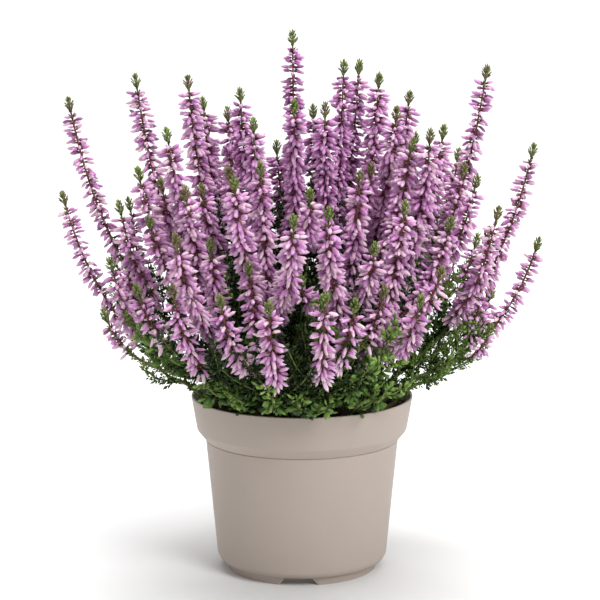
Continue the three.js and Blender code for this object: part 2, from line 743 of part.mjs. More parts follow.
/** The hole that a stem stands in: the stem's buried end, a little larger. */
function rootHole(main) {
  const line = lineOf(main);
  const ends = rootRows(line, ROOT_DEPTH + HOLE_GAP, HOLE_RISE, STEM_BASE_RADIUS + HOLE_GAP);
  frameRows(ends, line, line.getLength());
  ends[1].turn = ends[0].turn;
  return solidOf(stalkGeometry(ends, null));
}

/** Finer beads of all the branches, for measuring the room that is left between them. */
function fineBeadsOf(branches) {
  return beadsOf(
    branches.map((branch) => {
      const line = lineOf(branch);
      const length = line.getLength();
      const points = line.getSpacedPoints(Math.round(length / FINE_BEAD_PITCH));
      return { ...branch, source: branch, points, length };
    }),
  );
}

/**
 * For each branch, a function that gives the room at a distance along it: how far its buds or
 * leaves can reach there before they would meet those of another plant or part.
 */
function roomAround(plants) {
  const beads = fineBeadsOf(plants.flat());
  for (const bead of beads) bead.room = bead.reach * FULLEST;
  beads.forEach((bead, i) => {
    for (const other of beads.slice(i + 1)) {
      const reach = bead.reach + other.reach;
      const share = (bead.at.distanceTo(other.at) - FIT_CLEARANCE) / reach;
      if (share >= FULLEST || areOnePart(bead, other)) continue;
      bead.room = Math.min(bead.room, bead.reach * share);
      other.room = Math.min(other.room, other.reach * share);
    }
  });
  return (branch) => {
    const own = beads.filter((bead) => bead.branch.source === branch);
    return (at) => {
      const near = own.filter((bead) => Math.abs(bead.along - at) < ROOM_WINDOW);
      return Math.max(LEAST_REACH, Math.min(...near.map((bead) => bead.room), Infinity));
    };
  };
}

/** Whether a bead lies on a leafy stem's node rather than its flower spray's. */
function isLeafy({ branch, share }) {
  return branch.kind === "stem" ? share < SPRAY_START : branch.kind === "shoot";
}

/** Whether two beads belong to one node, or sit next to each other where two nodes meet. */
function areOnePart(bead, other) {
  if (bead.branch.plant !== other.branch.plant) return false;
  if (isLeafy(bead) === isLeafy(other)) return true;
  if (bead.branch.source === other.branch.source) return true;
  const [child, carrier] = bead.branch.parent ? [bead, other] : [other, bead];
  return child.branch.parent === carrier.branch.source && child.along < KEEP_OFF_FORK;
}

// ---- The object ---------------------------------------------------------------------------------

const sprays = [...TALL_SPRAYS, ...FRONT_SPRAYS, ...FRONT_SPRAYS.map(carriedBack)];
const plants = layOut(sprays);
const room = roomAround(plants);
const group = new THREE.Group();
group.add(meshOf("pot", potSolid(), POT_PLASTIC));

let peat = peatSolid();
for (const [main] of plants) peat = peat.subtract(rootHole(main));
group.add(meshOf("peat", peat, PEAT));

plants.forEach((branches, i) => {
  const hasSpray = i < sprays.length;
  const number = String(hasSpray ? i + 1 : i + 1 - sprays.length).padStart(2, "0");
  const stemName = hasSpray ? `leafy_stem_${number}` : `leafy_shoot_${number}`;
  group.add(meshOf(stemName, leafyStemSolid(branches, room, hasSpray), LEAF_GREEN));
  if (hasSpray) group.add(meshOf(`flower_spray_${number}`, spraySolid(branches, room), BLOOM_PINK));
});

export default group;
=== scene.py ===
"""Potted heather: the finished pot, peat, leafy stems and flower sprays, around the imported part.

The stems follow the part: the same lines are grown and bent clear of each other by the same rules.
Every length is in millimetres until a mesh is filled, which is where it turns into metres.
The front is at -Y, and the origin is the middle of the pot's foot.
"""

import json
import math
from typing import NamedTuple

import bpy
import numpy as np
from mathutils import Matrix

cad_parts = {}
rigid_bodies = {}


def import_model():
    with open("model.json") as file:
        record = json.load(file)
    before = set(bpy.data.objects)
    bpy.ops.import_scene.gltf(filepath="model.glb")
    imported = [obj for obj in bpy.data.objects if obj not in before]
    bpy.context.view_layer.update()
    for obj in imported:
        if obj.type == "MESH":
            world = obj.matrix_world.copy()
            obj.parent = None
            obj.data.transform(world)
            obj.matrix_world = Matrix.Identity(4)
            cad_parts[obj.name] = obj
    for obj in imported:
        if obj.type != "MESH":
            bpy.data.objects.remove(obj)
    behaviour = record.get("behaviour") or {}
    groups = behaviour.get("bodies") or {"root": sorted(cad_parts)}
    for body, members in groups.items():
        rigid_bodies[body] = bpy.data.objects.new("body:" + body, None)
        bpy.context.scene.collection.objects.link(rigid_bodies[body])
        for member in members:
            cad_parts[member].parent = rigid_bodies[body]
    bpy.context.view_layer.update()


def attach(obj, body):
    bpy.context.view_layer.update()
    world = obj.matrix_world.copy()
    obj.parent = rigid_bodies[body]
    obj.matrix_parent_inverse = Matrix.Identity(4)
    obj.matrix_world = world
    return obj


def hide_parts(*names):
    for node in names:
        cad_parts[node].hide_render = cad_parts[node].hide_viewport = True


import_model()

METRES = 0.001
UP = np.array([0.0, 0.0, 1.0])

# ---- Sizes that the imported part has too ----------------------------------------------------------

POT_HEIGHT = 95.0
RIM_RADIUS = 60.0
COLLAR_HEIGHT = 18.2
COLLAR_FOOT_RADIUS = 56.9
STEP_HEIGHT = 5.6
BODY_TOP_RADIUS = 52.2
BODY_FOOT_RADIUS = 46.3
CORNER_HEIGHT = 8.8
FOOT_RADIUS = 41.0
FOOT_TOP_RADIUS = 42.0
FOOT_HEIGHT = 4.4
FOOT_THICKNESS = 1.6
WALL = 1.2
NOTCH_COUNT = 4
NOTCH_TURN = math.radians(-2.5)
NOTCH_TOP_WIDTH = 14.3
NOTCH_FOOT_WIDTH = 20.5
NOTCH_HEIGHT = 3.7
DRAIN_COUNT = 5
DRAIN_RADIUS = 4.0
DRAIN_RING_RADIUS = 26.0

PEAT_MIDDLE = 90.5
PEAT_EDGE = 88.0
PEAT_GAP = 0.35
PEAT_BUMP = 0.5

COLLAR_FOOT_HEIGHT = POT_HEIGHT - COLLAR_HEIGHT
BODY_TOP_HEIGHT = COLLAR_FOOT_HEIGHT - STEP_HEIGHT
FLOOR_HEIGHT = FOOT_HEIGHT + WALL

CROWN = np.array([0.0, 0.0, 90.0])
ROOT_SPREAD = 58.0
ROOT_LIMIT = 46.0
LOWEST_LEAN = math.radians(75)
ROOT_SPACING = 9.0
ROOT_PASSES = 40
ROOT_DEPTH = 12.0
ROOT_RISE = 4.0
BASE_LEAN_FACTOR = 1.25
MOST_BASE_LEAN = math.radians(57)
TIP_LEAN_FACTOR = 0.28
STEM_ENDS = [0.38, 0.48]
SIDE_ENDS = [0.25, 0.6]

STEM_RADIUS = 1.2
SIDE_RADIUS = 0.9
LEAF_REACH = 3.2
SHOOT_LEAF_REACH = 4.8
BUD_REACH = 6.4
GREEN_TIP = 9.0
NECK = 3.5
TIP_LEAF_REACH = 2.6
LOWEST_FLOWER = 0.12

SPRAY_START = 0.3
SPIKE_FORKS = [0.33, 0.37, 0.41, 0.45]
STEM_SHOOTS = [[0.08, 34.0], [0.16, 44.0], [0.24, 54.0]]
BARE_SHOOT_SHOOTS = [[0.25, 28.0], [0.45, 24.0], [0.65, 18.0]]
SHOOT_SPREAD = math.radians(42)
SHOOT_RISE = 6.0
SHOOT_ENDS = [10.0, 8.0]
SHOOT_TURN_UP = 7.0
SHOOT_ACROSS_RISE = 0.2
GOLDEN_ANGLE = math.radians(137.5)

BEAD_PITCH = 8.0
FEWEST_BEADS = 5
CLEARING_PASSES = 40
NEIGHBOUR_SHARE = 0.88
KEEP_OFF_FORK = 11.0
SIBLING_SHARE = 0.75
RIM_CLEARANCE = 3.6
RIM_WIDTH_IN = 12.0
RIM_WIDTH_OUT = 8.0
HELD_LENGTH = 30.0
MOVE_SHARE = 0.6
PAIRS_WITHIN = 45.0
TOUCHING = 1e-6
FLOOR_OVER_PEAT = 1.0

# Each row is one spray, and each entry in it is one spike: the place of its tip (x, y, z) and the
# length that bears flowers. The first spike continues the stem, and the others fork off it.
TALL_SPRAYS = [
    [[-5, 5, 291, 130], [-4, -38, 257, 100], [-14, 30, 231, 80], [4, -62, 214, 75]],
    [[22, -8, 276, 120], [31, 22, 275, 100], [12, -30, 255, 90], [6, 20, 251, 100]],
    [[41, 2, 269, 115], [49, -30, 253, 95], [59, 32, 258, 95], [36, -28, 224, 70]],
    [[-33, 2, 261, 115], [-25, -40, 248, 95], [-41, 34, 249, 80], [-38, -30, 222, 70]],
    [[-60, -10, 268, 115], [-69, -44, 243, 90], [-54, 24, 255, 80], [-52, -38, 214, 70]],
    [[-89, 8, 268, 100], [-84, -42, 223, 80], [-81, 42, 206, 70], [-74, -20, 215, 70]],
    [[-124, 0, 256, 85], [-95, -34, 205, 75], [-104, 20, 170, 50], [-93, 0, 203, 70]],
    [[-127, -10, 207, 70], [-99, -46, 177, 48], [-98, 28, 163, 45], [-92, -14, 172, 48]],
    [[75, -8, 242, 95], [65, -50, 243, 90], [63, 40, 235, 80], [56, -14, 216, 70]],
    [[98, 0, 273, 110], [90, -40, 219, 80], [87, 38, 226, 75], [86, -10, 222, 80]],
    [[123, -5, 232, 92], [101, -44, 203, 75], [104, 34, 183, 60], [94, -4, 184, 60]],
    [[126, -12, 183, 50], [99, -38, 141, 16], [106, 28, 150, 22], [94, -8, 160, 32]],
]
# Shorter sprays that lean to the front. The back is filled with them too, turned by BACK_TURN.
FRONT_SPRAYS = [
    [[-21, -60, 227, 92], [-33, -92, 223, 85], [-4, -106, 206, 72], [-6, -84, 186, 50]],
    [
        [29, -64, 223, 95],
        [13, -100, 209, 80],
        [57, -46, 238, 85],
        [36, -86, 190, 55],
        [-1, -82, 173, 48],
    ],
    [[51, -82, 210, 90], [58, -98, 166, 46], [76, -54, 199, 75], [70, -74, 176, 55]],
    [[11, -118, 170, 47], [26, -104, 165, 32], [41, -84, 168, 24]],
    [[-16, -117, 166, 46], [-40, -104, 167, 38], [-27, -82, 181, 42]],
    [[-59, -60, 215, 90], [-62, -92, 195, 72], [-79, -42, 199, 75], [-46, -72, 190, 60]],
    [[-64, -92, 170, 46], [-103, -44, 150, 20], [-84, -64, 166, 28]],
]
BACK_TURN = math.radians(176)
# Leafy shoots with no flowers: the place of each tip.
BARE_SHOOTS = [
    [-40, -64, 112],
    [0, -80, 110],
    [38, -68, 112],
    [-82, -28, 128],
    [80, -28, 125],
    [10, 76, 114],
]

# ---- Lines ---------------------------------------------------------------------------------------


def unit(vectors):
    """Each vector divided by its own length."""
    return vectors / np.linalg.norm(vectors, axis=-1, keepdims=True)


def turned(first, second, angle):
    """Directions at an angle from one towards another: cos(angle) * first + sin(angle) * second."""
    angle = np.asarray(angle)[..., None]
    return np.cos(angle) * first + np.sin(angle) * second


def ramp(value, start, end):
    """0 up to the start and 1 past the end, straight in between."""
    return np.clip((value - start) / (end - start), 0, 1)


class Line:
    """A curve, given as its place at t from 0 to 1, that can be read evenly along its length.

    The length table holds the distance travelled at STEPS even steps of t, and a share of the
    length is looked up in it to find t.
    """

    STEPS = 200
    NUDGE = 1e-4

    def __init__(self, place):
        self.place = place
        self.t = np.linspace(0, 1, self.STEPS + 1)
        strides = np.linalg.norm(np.diff(place(self.t), axis=0), axis=1)
        self.travelled = np.concatenate([[0.0], np.cumsum(strides)])
        self.length = self.travelled[-1]
        self.tip = place(1.0)[0]

    def t_of(self, share):
        """The t at a share of the length."""
        return np.interp(np.asarray(share) * self.length, self.travelled, self.t)

    def at(self, share):
        """Places at shares of the length."""
        return self.place(self.t_of(share))

    def even(self, start, end, count):
        """Evenly spaced places from one distance to another."""
        return self.at(np.linspace(start, end, count) / self.length)

    def heading(self, share):
        """Unit directions at shares of the length: the chord over a small step of t either way."""
        t = self.t_of(share)
        after = self.place(np.minimum(t + self.NUDGE, 1))
        return unit(after - self.place(np.maximum(t - self.NUDGE, 0)))


def arched(start, after, before, end):
    """Cubic Bezier line: s^3 start + 3 s^2 t after + 3 s t^2 before + t^3 end, with s = 1 - t."""

    def place(t):
        t = np.atleast_1d(t)[:, None]
        s = 1 - t
        return s**3 * start + 3 * s**2 * t * after + 3 * s * t**2 * before + t**3 * end

    return Line(place)


def smooth_through(points):
    """Centripetal Catmull-Rom line: cubics between the points, timed by the root of each gap."""
    ends = np.vstack([2 * points[0] - points[1], points, 2 * points[-1] - points[-2]])
    times = np.sqrt(np.linalg.norm(np.diff(ends, axis=0), axis=1))[:, None]
    slopes = np.diff(ends, axis=0) / times
    turns = (ends[2:] - ends[:-2]) / (times[1:] + times[:-1])
    leaving = (slopes[:-2] - turns[:-1] + slopes[1:-1]) * times[1:-1]
    arriving = (slopes[1:-1] - turns[1:] + slopes[2:]) * times[1:-1]
    gaps = len(points) - 1

    def place(t):
        along = np.atleast_1d(t) * gaps
        i = np.clip(along.astype(int), 0, gaps - 1)
        w = (along - i)[:, None]
        low, high, out, back = points[i], points[i + 1], leaving[i], arriving[i]
        square = 3 * (high - low) - 2 * out - back
        return low + out * w + square * w**2 + (2 * (low - high) + out + back) * w**3

    return Line(place)


def carried_frames(points):
    """Unit directions along, beside and over at each point; beside is carried on without spin."""
    along = unit(np.gradient(points, axis=0))
    beside = np.empty_like(along)
    hand = np.array([0.0, 1.0, 0.3])
    for i, direction in enumerate(along):
        hand = unit(hand - direction * (hand @ direction))
        beside[i] = hand
    return along, beside, np.cross(along, beside)


# ---- Where the stems and spikes run --------------------------------------------------------------


def peat_height(x, y):
    """Low mound with shallow bumps: middle - drop (r / rim)^2 + bump sin(0.31 x + 1) cos(0.27 y)."""
    share = np.hypot(x, y) / RIM_RADIUS
    bump = np.sin(x * 0.31 + 1) * np.cos(y * 0.27)
    return PEAT_MIDDLE + (PEAT_EDGE - PEAT_MIDDLE) * share**2 + PEAT_BUMP * bump


def leaning(towards, lean):
    """Direction at an angle from straight up, towards a place: (sin lean * away, cos lean)."""
    away = unit(towards * [1, 1, 0])
    return away * math.sin(lean) + UP * math.cos(lean)


def lean_of(tip):
    """How far a tip lies off the vertical, seen from the crown."""
    return math.acos(unit(tip - CROWN)[2])


def growth_curve(root, heading, tip, ends):
    """Arch that sets off along a heading and comes in at the tip nearly upright."""
    setting_off, coming_in = np.array(ends) * np.linalg.norm(tip - root)
    coming = leaning(tip, lean_of(tip) * TIP_LEAN_FACTOR)
    return arched(root, root + heading * setting_off, tip - coming * coming_in, tip)


def root_places(tips):
    """Roots farther out the more a stem leans, then pushed to ROOT_SPACING apart, pair by pair."""
    roots = []
    for tip in tips:
        roots.append(unit(tip[:2]) * min(ROOT_SPREAD * lean_of(tip) / LOWEST_LEAN, ROOT_LIMIT))
    for _ in range(ROOT_PASSES):
        for i, root in enumerate(roots):
            for j, other in enumerate(roots):
                gap = math.dist(root, other)
                if i == j or gap >= ROOT_SPACING:
                    continue
                push = (root - other) * (ROOT_SPACING - gap) / (2 * gap)
                root += push
                other -= push
    return [np.array([x, y, peat_height(x, y)]) for x, y in roots]


class Branch:
    """A stem, spike or shoot, as evenly spaced beads with what it bears along its length.

    spans holds [share of the length, reach] steps. After the bending, line runs through the beads.
    """

    def __init__(self, curve, kind, plant, spans, parent=None, fork=0.0):
        count = max(FEWEST_BEADS, math.floor(curve.length / BEAD_PITCH + 0.5))
        self.shares = np.linspace(0, 1, count + 1)
        self.points = curve.at(self.shares)
        self.along = self.shares * curve.length
        self.kind = kind
        self.plant = plant
        self.parent = parent
        self.fork = fork
        self.spans = spans

    def reaches(self):
        """Reach of the leaves or buds at each bead: that of the last span that has begun."""
        starts, reach = np.array(self.spans).T
        begun = self.shares[:, None] >= starts
        return reach[begun.sum(axis=1) - 1]

    def place_on(self, share):
        """Place at a share of the branch, straight between its beads."""
        return np.array([np.interp(share, self.shares, self.points[:, axis]) for axis in range(3)])

    def settle(self):
        """Draws the smooth line through the beads where they have come to rest."""
        self.line = smooth_through(self.points)


def spike_spans(length, flowering, base_spans):
    """Spans of a spike: bare up to its flowers, then buds, then the green tip."""
    tip_start = 1 - GREEN_TIP / length
    flower_start = max(tip_start - flowering / length, LOWEST_FLOWER)
    return [*base_spans, [flower_start, BUD_REACH], [tip_start, TIP_LEAF_REACH]]


def shoot_curve(curve, fork, length, spread, turn):
    """Arch of a side shoot: off the stem at an angle, a turn round it, and up again at its end."""
    root = curve.at(fork)[0]
    across = unit(np.array([math.cos(turn), math.sin(turn), SHOOT_ACROSS_RISE]))
    heading = unit(curve.heading(fork)[0] * math.cos(spread) + across * math.sin(spread))
    tip = root + heading * length + UP * SHOOT_RISE
    setting_off, coming_in = SHOOT_ENDS
    before = tip - heading * coming_in - UP * SHOOT_TURN_UP
    return arched(root, root + heading * setting_off, before, tip)


def shoot_branches(main, curve, plant, places):
    """Leafy side shoots, set off round the stem by the golden angle and turning up."""
    shoots = []
    for i, (fork, length) in enumerate(places):
        turn = GOLDEN_ANGLE * (plant * len(places) + i)
        shoot = shoot_curve(curve, fork, length, SHOOT_SPREAD, turn)
        shoots.append(Branch(shoot, "shoot", plant, [[0, SHOOT_LEAF_REACH]], main, fork))
    return shoots


def spray_branches(root, spikes, plant):
    """The stem that carries a spray, its side spikes and its leafy side shoots."""
    tips = [np.array(spike[:3], float) for spike in spikes]
    base_lean = min(lean_of(tips[0]) * BASE_LEAN_FACTOR, MOST_BASE_LEAN)
    curve = growth_curve(root, leaning(tips[0], base_lean), tips[0], STEM_ENDS)
    spans = spike_spans(curve.length, spikes[0][3], [[0, LEAF_REACH], [SPRAY_START, STEM_RADIUS]])
    main = Branch(curve, "stem", plant, spans)
    sides = []
    for tip, spike, fork in zip(tips[1:], spikes[1:], SPIKE_FORKS):
        start = curve.at(fork)[0]
        heading = unit(curve.heading(fork)[0] + unit(tip - start))
        side = growth_curve(start, heading, tip, SIDE_ENDS)
        side_spans = spike_spans(side.length, spike[3], [[0, SIDE_RADIUS]])
        sides.append(Branch(side, "spike", plant, side_spans, main, fork))
    return [main, *sides, *shoot_branches(main, curve, plant, STEM_SHOOTS)]


def bare_shoot_branches(root, place, plant):
    """A leafy shoot straight from the peat, with leafy side shoots of its own."""
    tip = np.array(place, float)
    base_lean = min(lean_of(tip) * BASE_LEAN_FACTOR, MOST_BASE_LEAN)
    curve = growth_curve(root, leaning(tip, base_lean), tip, STEM_ENDS)
    main = Branch(curve, "stem", plant, [[0, LEAF_REACH]])
    return [main, *shoot_branches(main, curve, plant, BARE_SHOOT_SHOOTS)]


def room_between(beads, i, j):
    """Room that each pair of beads needs, or 0 where they may be as near as they like."""
    reach = beads["reach"][i] + beads["reach"][j]
    nearest = np.minimum(beads["along"][i], beads["along"][j])
    first_is_child = beads["parent"][i] == beads["branch"][j]
    is_pair = first_is_child | (beads["parent"][j] == beads["branch"][i])
    child_along = np.where(first_is_child, beads["along"][i], beads["along"][j])
    joined = (beads["branch"][i] == beads["branch"][j]) | (is_pair & (child_along < KEEP_OFF_FORK))
    same_fork = joined | (nearest < KEEP_OFF_FORK)
    own = np.where(same_fork, 0.0, SIBLING_SHARE * reach)
    return np.where(beads["plant"][i] != beads["plant"][j], reach * NEIGHBOUR_SHARE, own)


def pushes(at, beads, pairs, room):
    """Half of each missing room to either bead of a pair, and a lift clear of rim and peat."""
    i, j = pairs
    apart = at[i] - at[j]
    gap = np.linalg.norm(apart, axis=1)
    is_short = (gap < room) & (gap > TOUCHING)
    lack = np.where(is_short, (room - gap) / (2 * np.maximum(gap, TOUCHING)), 0.0)
    push = apart * lack[:, None]
    shift = np.empty_like(at)
    for axis in range(3):
        given = np.bincount(i, push[:, axis], len(at))
        shift[:, axis] = given - np.bincount(j, push[:, axis], len(at))
    radius = np.hypot(at[:, 0], at[:, 1])
    over_rim = POT_HEIGHT + RIM_CLEARANCE
    over_peat = peat_height(0, 0) + FLOOR_OVER_PEAT
    floor = np.where(radius > RIM_RADIUS - RIM_WIDTH_IN, over_rim, over_peat)
    low = np.where(radius < RIM_RADIUS + RIM_WIDTH_OUT, floor + beads["reach"] - at[:, 2], 0.0)
    shift[:, 2] += np.where((low > 0) & (beads["along"] > KEEP_OFF_FORK), low / 2, 0.0)
    return shift


def evened(shifts):
    """Shifts averaged twice over neighbours, with weights 1, 2, 1."""
    for _ in range(2):
        padded = np.vstack([shifts[:1], shifts, shifts[-1:]])
        shifts = (padded[:-2] + 2 * padded[1:-1] + padded[2:]) / 4
    return shifts


def bend_clear(branches):
    """Bends the branches clear of each other, a little at a time, with their root ends held."""
    sizes = [len(branch.points) for branch in branches]
    order = {branch: i for i, branch in enumerate(branches)}
    beads = {
        "along": np.concatenate([branch.along for branch in branches]),
        "reach": np.concatenate([branch.reaches() for branch in branches]),
        "branch": np.repeat(np.arange(len(branches)), sizes),
        "parent": np.repeat([order.get(branch.parent, -1) for branch in branches], sizes),
        "plant": np.repeat([branch.plant for branch in branches], sizes),
    }
    ends = np.cumsum(sizes)
    at = np.vstack([branch.points for branch in branches])
    i, j = np.triu_indices(len(at), 1)
    near = np.linalg.norm(at[i] - at[j], axis=1) < PAIRS_WITHIN
    room = room_between(beads, i[near], j[near])
    pairs = (i[near][room > 0], j[near][room > 0])
    room = room[room > 0]
    for _ in range(CLEARING_PASSES):
        shift = pushes(at, beads, pairs, room)
        for branch, end in zip(branches, ends):
            own = slice(end - len(branch.points), end)
            hold = np.minimum(branch.along / HELD_LENGTH, 1)[:, None]
            moved = branch.points + evened(shift[own]) * MOVE_SHARE * hold
            if branch.parent:
                carried = branch.parent.place_on(branch.fork) - branch.points[0]
                moved += carried * ((1 - branch.shares) ** 2)[:, None]
            branch.points = moved
        at = np.vstack([branch.points for branch in branches])
    for branch in branches:
        branch.settle()


def lay_out():
    """All the branches, one list for each plant: first those with sprays, then the bare shoots."""
    c, s = math.cos(BACK_TURN), math.sin(BACK_TURN)
    back = [[[c * x - s * y, s * x + c * y, z, f] for x, y, z, f in row] for row in FRONT_SPRAYS]
    sprays = [*TALL_SPRAYS, *FRONT_SPRAYS, *back]
    tips = [np.array(tip[:3], float) for tip in [*(row[0] for row in sprays), *BARE_SHOOTS]]
    roots = root_places(tips)
    plants = [spray_branches(roots[i], row, i) for i, row in enumerate(sprays)]
    for tip in BARE_SHOOTS:
        plants.append(bare_shoot_branches(roots[len(plants)], tip, len(plants)))
    bend_clear([branch for branches in plants for branch in branches])
    return plants, len(sprays)


# ---- Shapes and meshes ---------------------------------------------------------------------------

CAP_SHARE = 0.4


class Shape(NamedTuple):
    """A closed surface: points, three- and four-sided faces, and two marks (u, v) on each point."""

    points: np.ndarray
    tris: np.ndarray
    quads: np.ndarray
    marks: np.ndarray


def skin(rows, foot, head, along_marks):
    """Surface over a grid of rings (rows, columns, 3), closed at both ends by a single point.

    Faces join each ring to the next: (r, c), (r, c+1), (r+1, c+1), (r+1, c). The mark u is read
    from along_marks, one for each ring, and v is 0.
    """
    count, columns = rows.shape[:2]
    points = np.vstack([[foot], rows.reshape(-1, 3), [head]])
    index = 1 + np.arange(count * columns).reshape(count, columns)
    beyond = np.roll(index, -1, axis=1)
    quads = np.stack([index[:-1], beyond[:-1], beyond[1:], index[1:]], axis=-1).reshape(-1, 4)
    first, last = np.zeros(columns, int), np.full(columns, len(points) - 1)
    low = np.stack([first, beyond[0], index[0]], axis=-1)
    high = np.stack([last, index[-1], beyond[-1]], axis=-1)
    u = np.concatenate([along_marks[:1], np.repeat(along_marks, columns), along_marks[-1:]])
    return Shape(points, np.vstack([low, high]), quads, np.stack([u, np.zeros(len(u))], axis=-1))


def tube(points, radii, sides, along_marks):
    """Round tube on a line of points: ring = point + radius (cos a * beside + sin a * over)."""
    along, beside, over = carried_frames(points)
    ring = turned(beside[:, None], over[:, None], np.arange(sides) * 2 * np.pi / sides)
    rows = points[:, None] + np.asarray(radii)[:, None, None] * ring
    cap = CAP_SHARE * np.asarray(radii)
    foot, head = points[0] - along[0] * cap[0], points[-1] + along[-1] * cap[-1]
    return skin(rows, foot, head, np.asarray(along_marks, float))


def spindle(heights, radii, columns, flatness=1.0, lobes=None):
    """Pointed body along +Z from 0 to 1: radius by height, with lobes 1 + depth cos(4 a) round it."""
    heights, radii = np.asarray(heights), np.asarray(radii)
    depth = np.zeros(len(heights)) if lobes is None else np.asarray(lobes)
    angle = np.arange(columns) * 2 * np.pi / columns
    radius = radii[:, None] * (1 + depth[:, None] * np.cos(4 * angle))
    rows = np.empty((len(heights), columns, 3))
    rows[..., 0] = radius * np.cos(angle)
    rows[..., 1] = radius * np.sin(angle) * flatness
    rows[..., 2] = heights[:, None]
    shape = skin(rows, np.zeros(3), UP, heights)
    shape.marks[0, 0], shape.marks[-1, 0] = 0.0, 1.0
    return shape


def copies(shape, origins, along, over, sizes, each):
    """Copies of a shape: point = origin + x * beside + y * over + z * along, each times its size.

    over is first squared up against along. sizes has one (x, y, z) for each copy, and each gives
    the copy's own mark v.
    """
    over = unit(over - along * (over * along).sum(axis=1, keepdims=True))
    frames = np.stack([np.cross(over, along), over, along], axis=1)
    points = origins[:, None] + (shape.points[None] * sizes[:, None]) @ frames
    count, step = len(origins), len(shape.points)
    offset = (np.arange(count) * step)[:, None, None]
    marks = np.empty((count, step, 2))
    marks[..., 0] = shape.marks[:, 0]
    marks[..., 1] = each[:, None]
    tris = (shape.tris[None] + offset).reshape(-1, 3)
    quads = (shape.quads[None] + offset).reshape(-1, 4)
    return Shape(points.reshape(-1, 3), tris, quads, marks.reshape(-1, 2))


def joined(shapes):
    """Several shapes as one."""
    starts = np.cumsum([0, *(len(shape.points) for shape in shapes)])
    return Shape(
        np.vstack([shape.points for shape in shapes]),
        np.vstack([shape.tris + start for shape, start in zip(shapes, starts)]),
        np.vstack([shape.quads + start for shape, start in zip(shapes, starts)]),
        np.vstack([shape.marks for shape in shapes]),
    )


def twice(rows):
    """Each row once for either member of a pair."""
    return np.repeat(rows, 2, axis=0)


def pair_frames(points):
    """Directions along, beside and over at each point, once for either member of a pair."""
    return [twice(directions) for directions in carried_frames(points)]


def pair_turns(count, twist):
    """Turns of opposite pairs round a line, each pair a twist farther round than the last."""
    return twice(np.arange(count) * twist) + np.tile([0, np.pi], count)


def slender(width, length):
    """Sizes of copies that are as thick as they are wide."""
    return np.stack([width, width, length], axis=-1)


def added(name, data):
    """A new object with this data, linked into the scene."""
    thing = bpy.data.objects.new(name, data)
    bpy.context.scene.collection.objects.link(thing)
    return thing


def fill_mesh(name, dressed):
    """Blender mesh object of (shape, material) pairs, in metres, with the marks as its UV map."""
    whole = joined([shape for shape, _ in dressed])
    corners = np.concatenate([whole.tris.ravel(), whole.quads.ravel()])
    sides = np.concatenate([np.full(len(whole.tris), 3), np.full(len(whole.quads), 4)])
    tri_slots = [np.full(len(shape.tris), i) for i, (shape, _) in enumerate(dressed)]
    quad_slots = [np.full(len(shape.quads), i) for i, (shape, _) in enumerate(dressed)]
    mesh = bpy.data.meshes.new(name)
    mesh.vertices.add(len(whole.points))
    mesh.vertices.foreach_set("co", (whole.points * METRES).ravel())
    mesh.loops.add(len(corners))
    mesh.loops.foreach_set("vertex_index", corners)
    mesh.polygons.add(len(sides))
    mesh.polygons.foreach_set("loop_start", np.cumsum(sides) - sides)
    mesh.polygons.foreach_set("material_index", np.concatenate([*tri_slots, *quad_slots]))
    growth = mesh.uv_layers.new(name="growth")
    growth.data.foreach_set("uv", whole.marks[corners].ravel())
    for _, material in dressed:
        mesh.materials.append(material)
    mesh.update(calc_edges=True)
    mesh.shade_smooth()
    return added(name, mesh)


# ---- Finishes ------------------------------------------------------------------------------------


def linear(red, green, blue):
    """Scene-linear colour from 0 to 255 display values: ((c + 0.055) / 1.055)^2.4."""
    shares = np.array([red, green, blue]) / 255
    values = np.where(shares <= 0.04045, shares / 12.92, ((shares + 0.055) / 1.055) ** 2.4)
    return (*values.tolist(), 1.0)


def new_group(name, inputs, outputs):
    """An empty shader node group with its named inputs and outputs, and its two end nodes."""
    tree = bpy.data.node_groups.new(name, "ShaderNodeTree")
    for label, value in inputs.items():
        kind = "NodeSocketColor" if isinstance(value, tuple) else "NodeSocketFloat"
        socket = tree.interface.new_socket(name=label, in_out="INPUT", socket_type=kind)
        socket.default_value = value
    for label, kind in outputs.items():
        tree.interface.new_socket(name=label, in_out="OUTPUT", socket_type=kind)
    return tree, tree.nodes.new("NodeGroupInput"), tree.nodes.new("NodeGroupOutput")


def feed(tree, socket, value):
    """Links another socket into this one, or sets a plain number or colour on it."""
    if isinstance(value, bpy.types.NodeSocket):
        tree.links.new(value, socket)
    else:
        socket.default_value = value


def math_node(tree, operation, first, second):
    """One Math node; returns its result socket."""
    node = tree.nodes.new("ShaderNodeMath")
    node.operation = operation
    feed(tree, node.inputs[0], first)
    feed(tree, node.inputs[1], second)
    return node.outputs[0]


def mixed(tree, share, first, second, blend="MIX"):
    """Mix of two colours by a share; returns the result socket."""
    node = tree.nodes.new("ShaderNodeMix")
    node.data_type = "RGBA"
    node.blend_type = blend
    # A Mix node has a row of sockets for each data type: 6, 7 and result 2 are those for colours.
    for index, value in ((0, share), (6, first), (7, second)):
        feed(tree, node.inputs[index], value)
    return node.outputs[2]


def smooth_range(tree, value, ends):
    """Smoothstep of a socket between the named ends of a Map Range node."""
    node = tree.nodes.new("ShaderNodeMapRange")
    node.interpolation_type = "SMOOTHSTEP"
    tree.links.new(value, node.inputs["Value"])
    for label, end in ends.items():
        feed(tree, node.inputs[label], end)
    return node.outputs["Result"]


def growth_marks(tree):
    """The piece's marks u and v, as two sockets."""
    marks = tree.nodes.new("ShaderNodeUVMap")
    marks.uv_map = "growth"
    parts = tree.nodes.new("ShaderNodeSeparateXYZ")
    tree.links.new(marks.outputs["UV"], parts.inputs["Vector"])
    return parts.outputs["X"], parts.outputs["Y"]


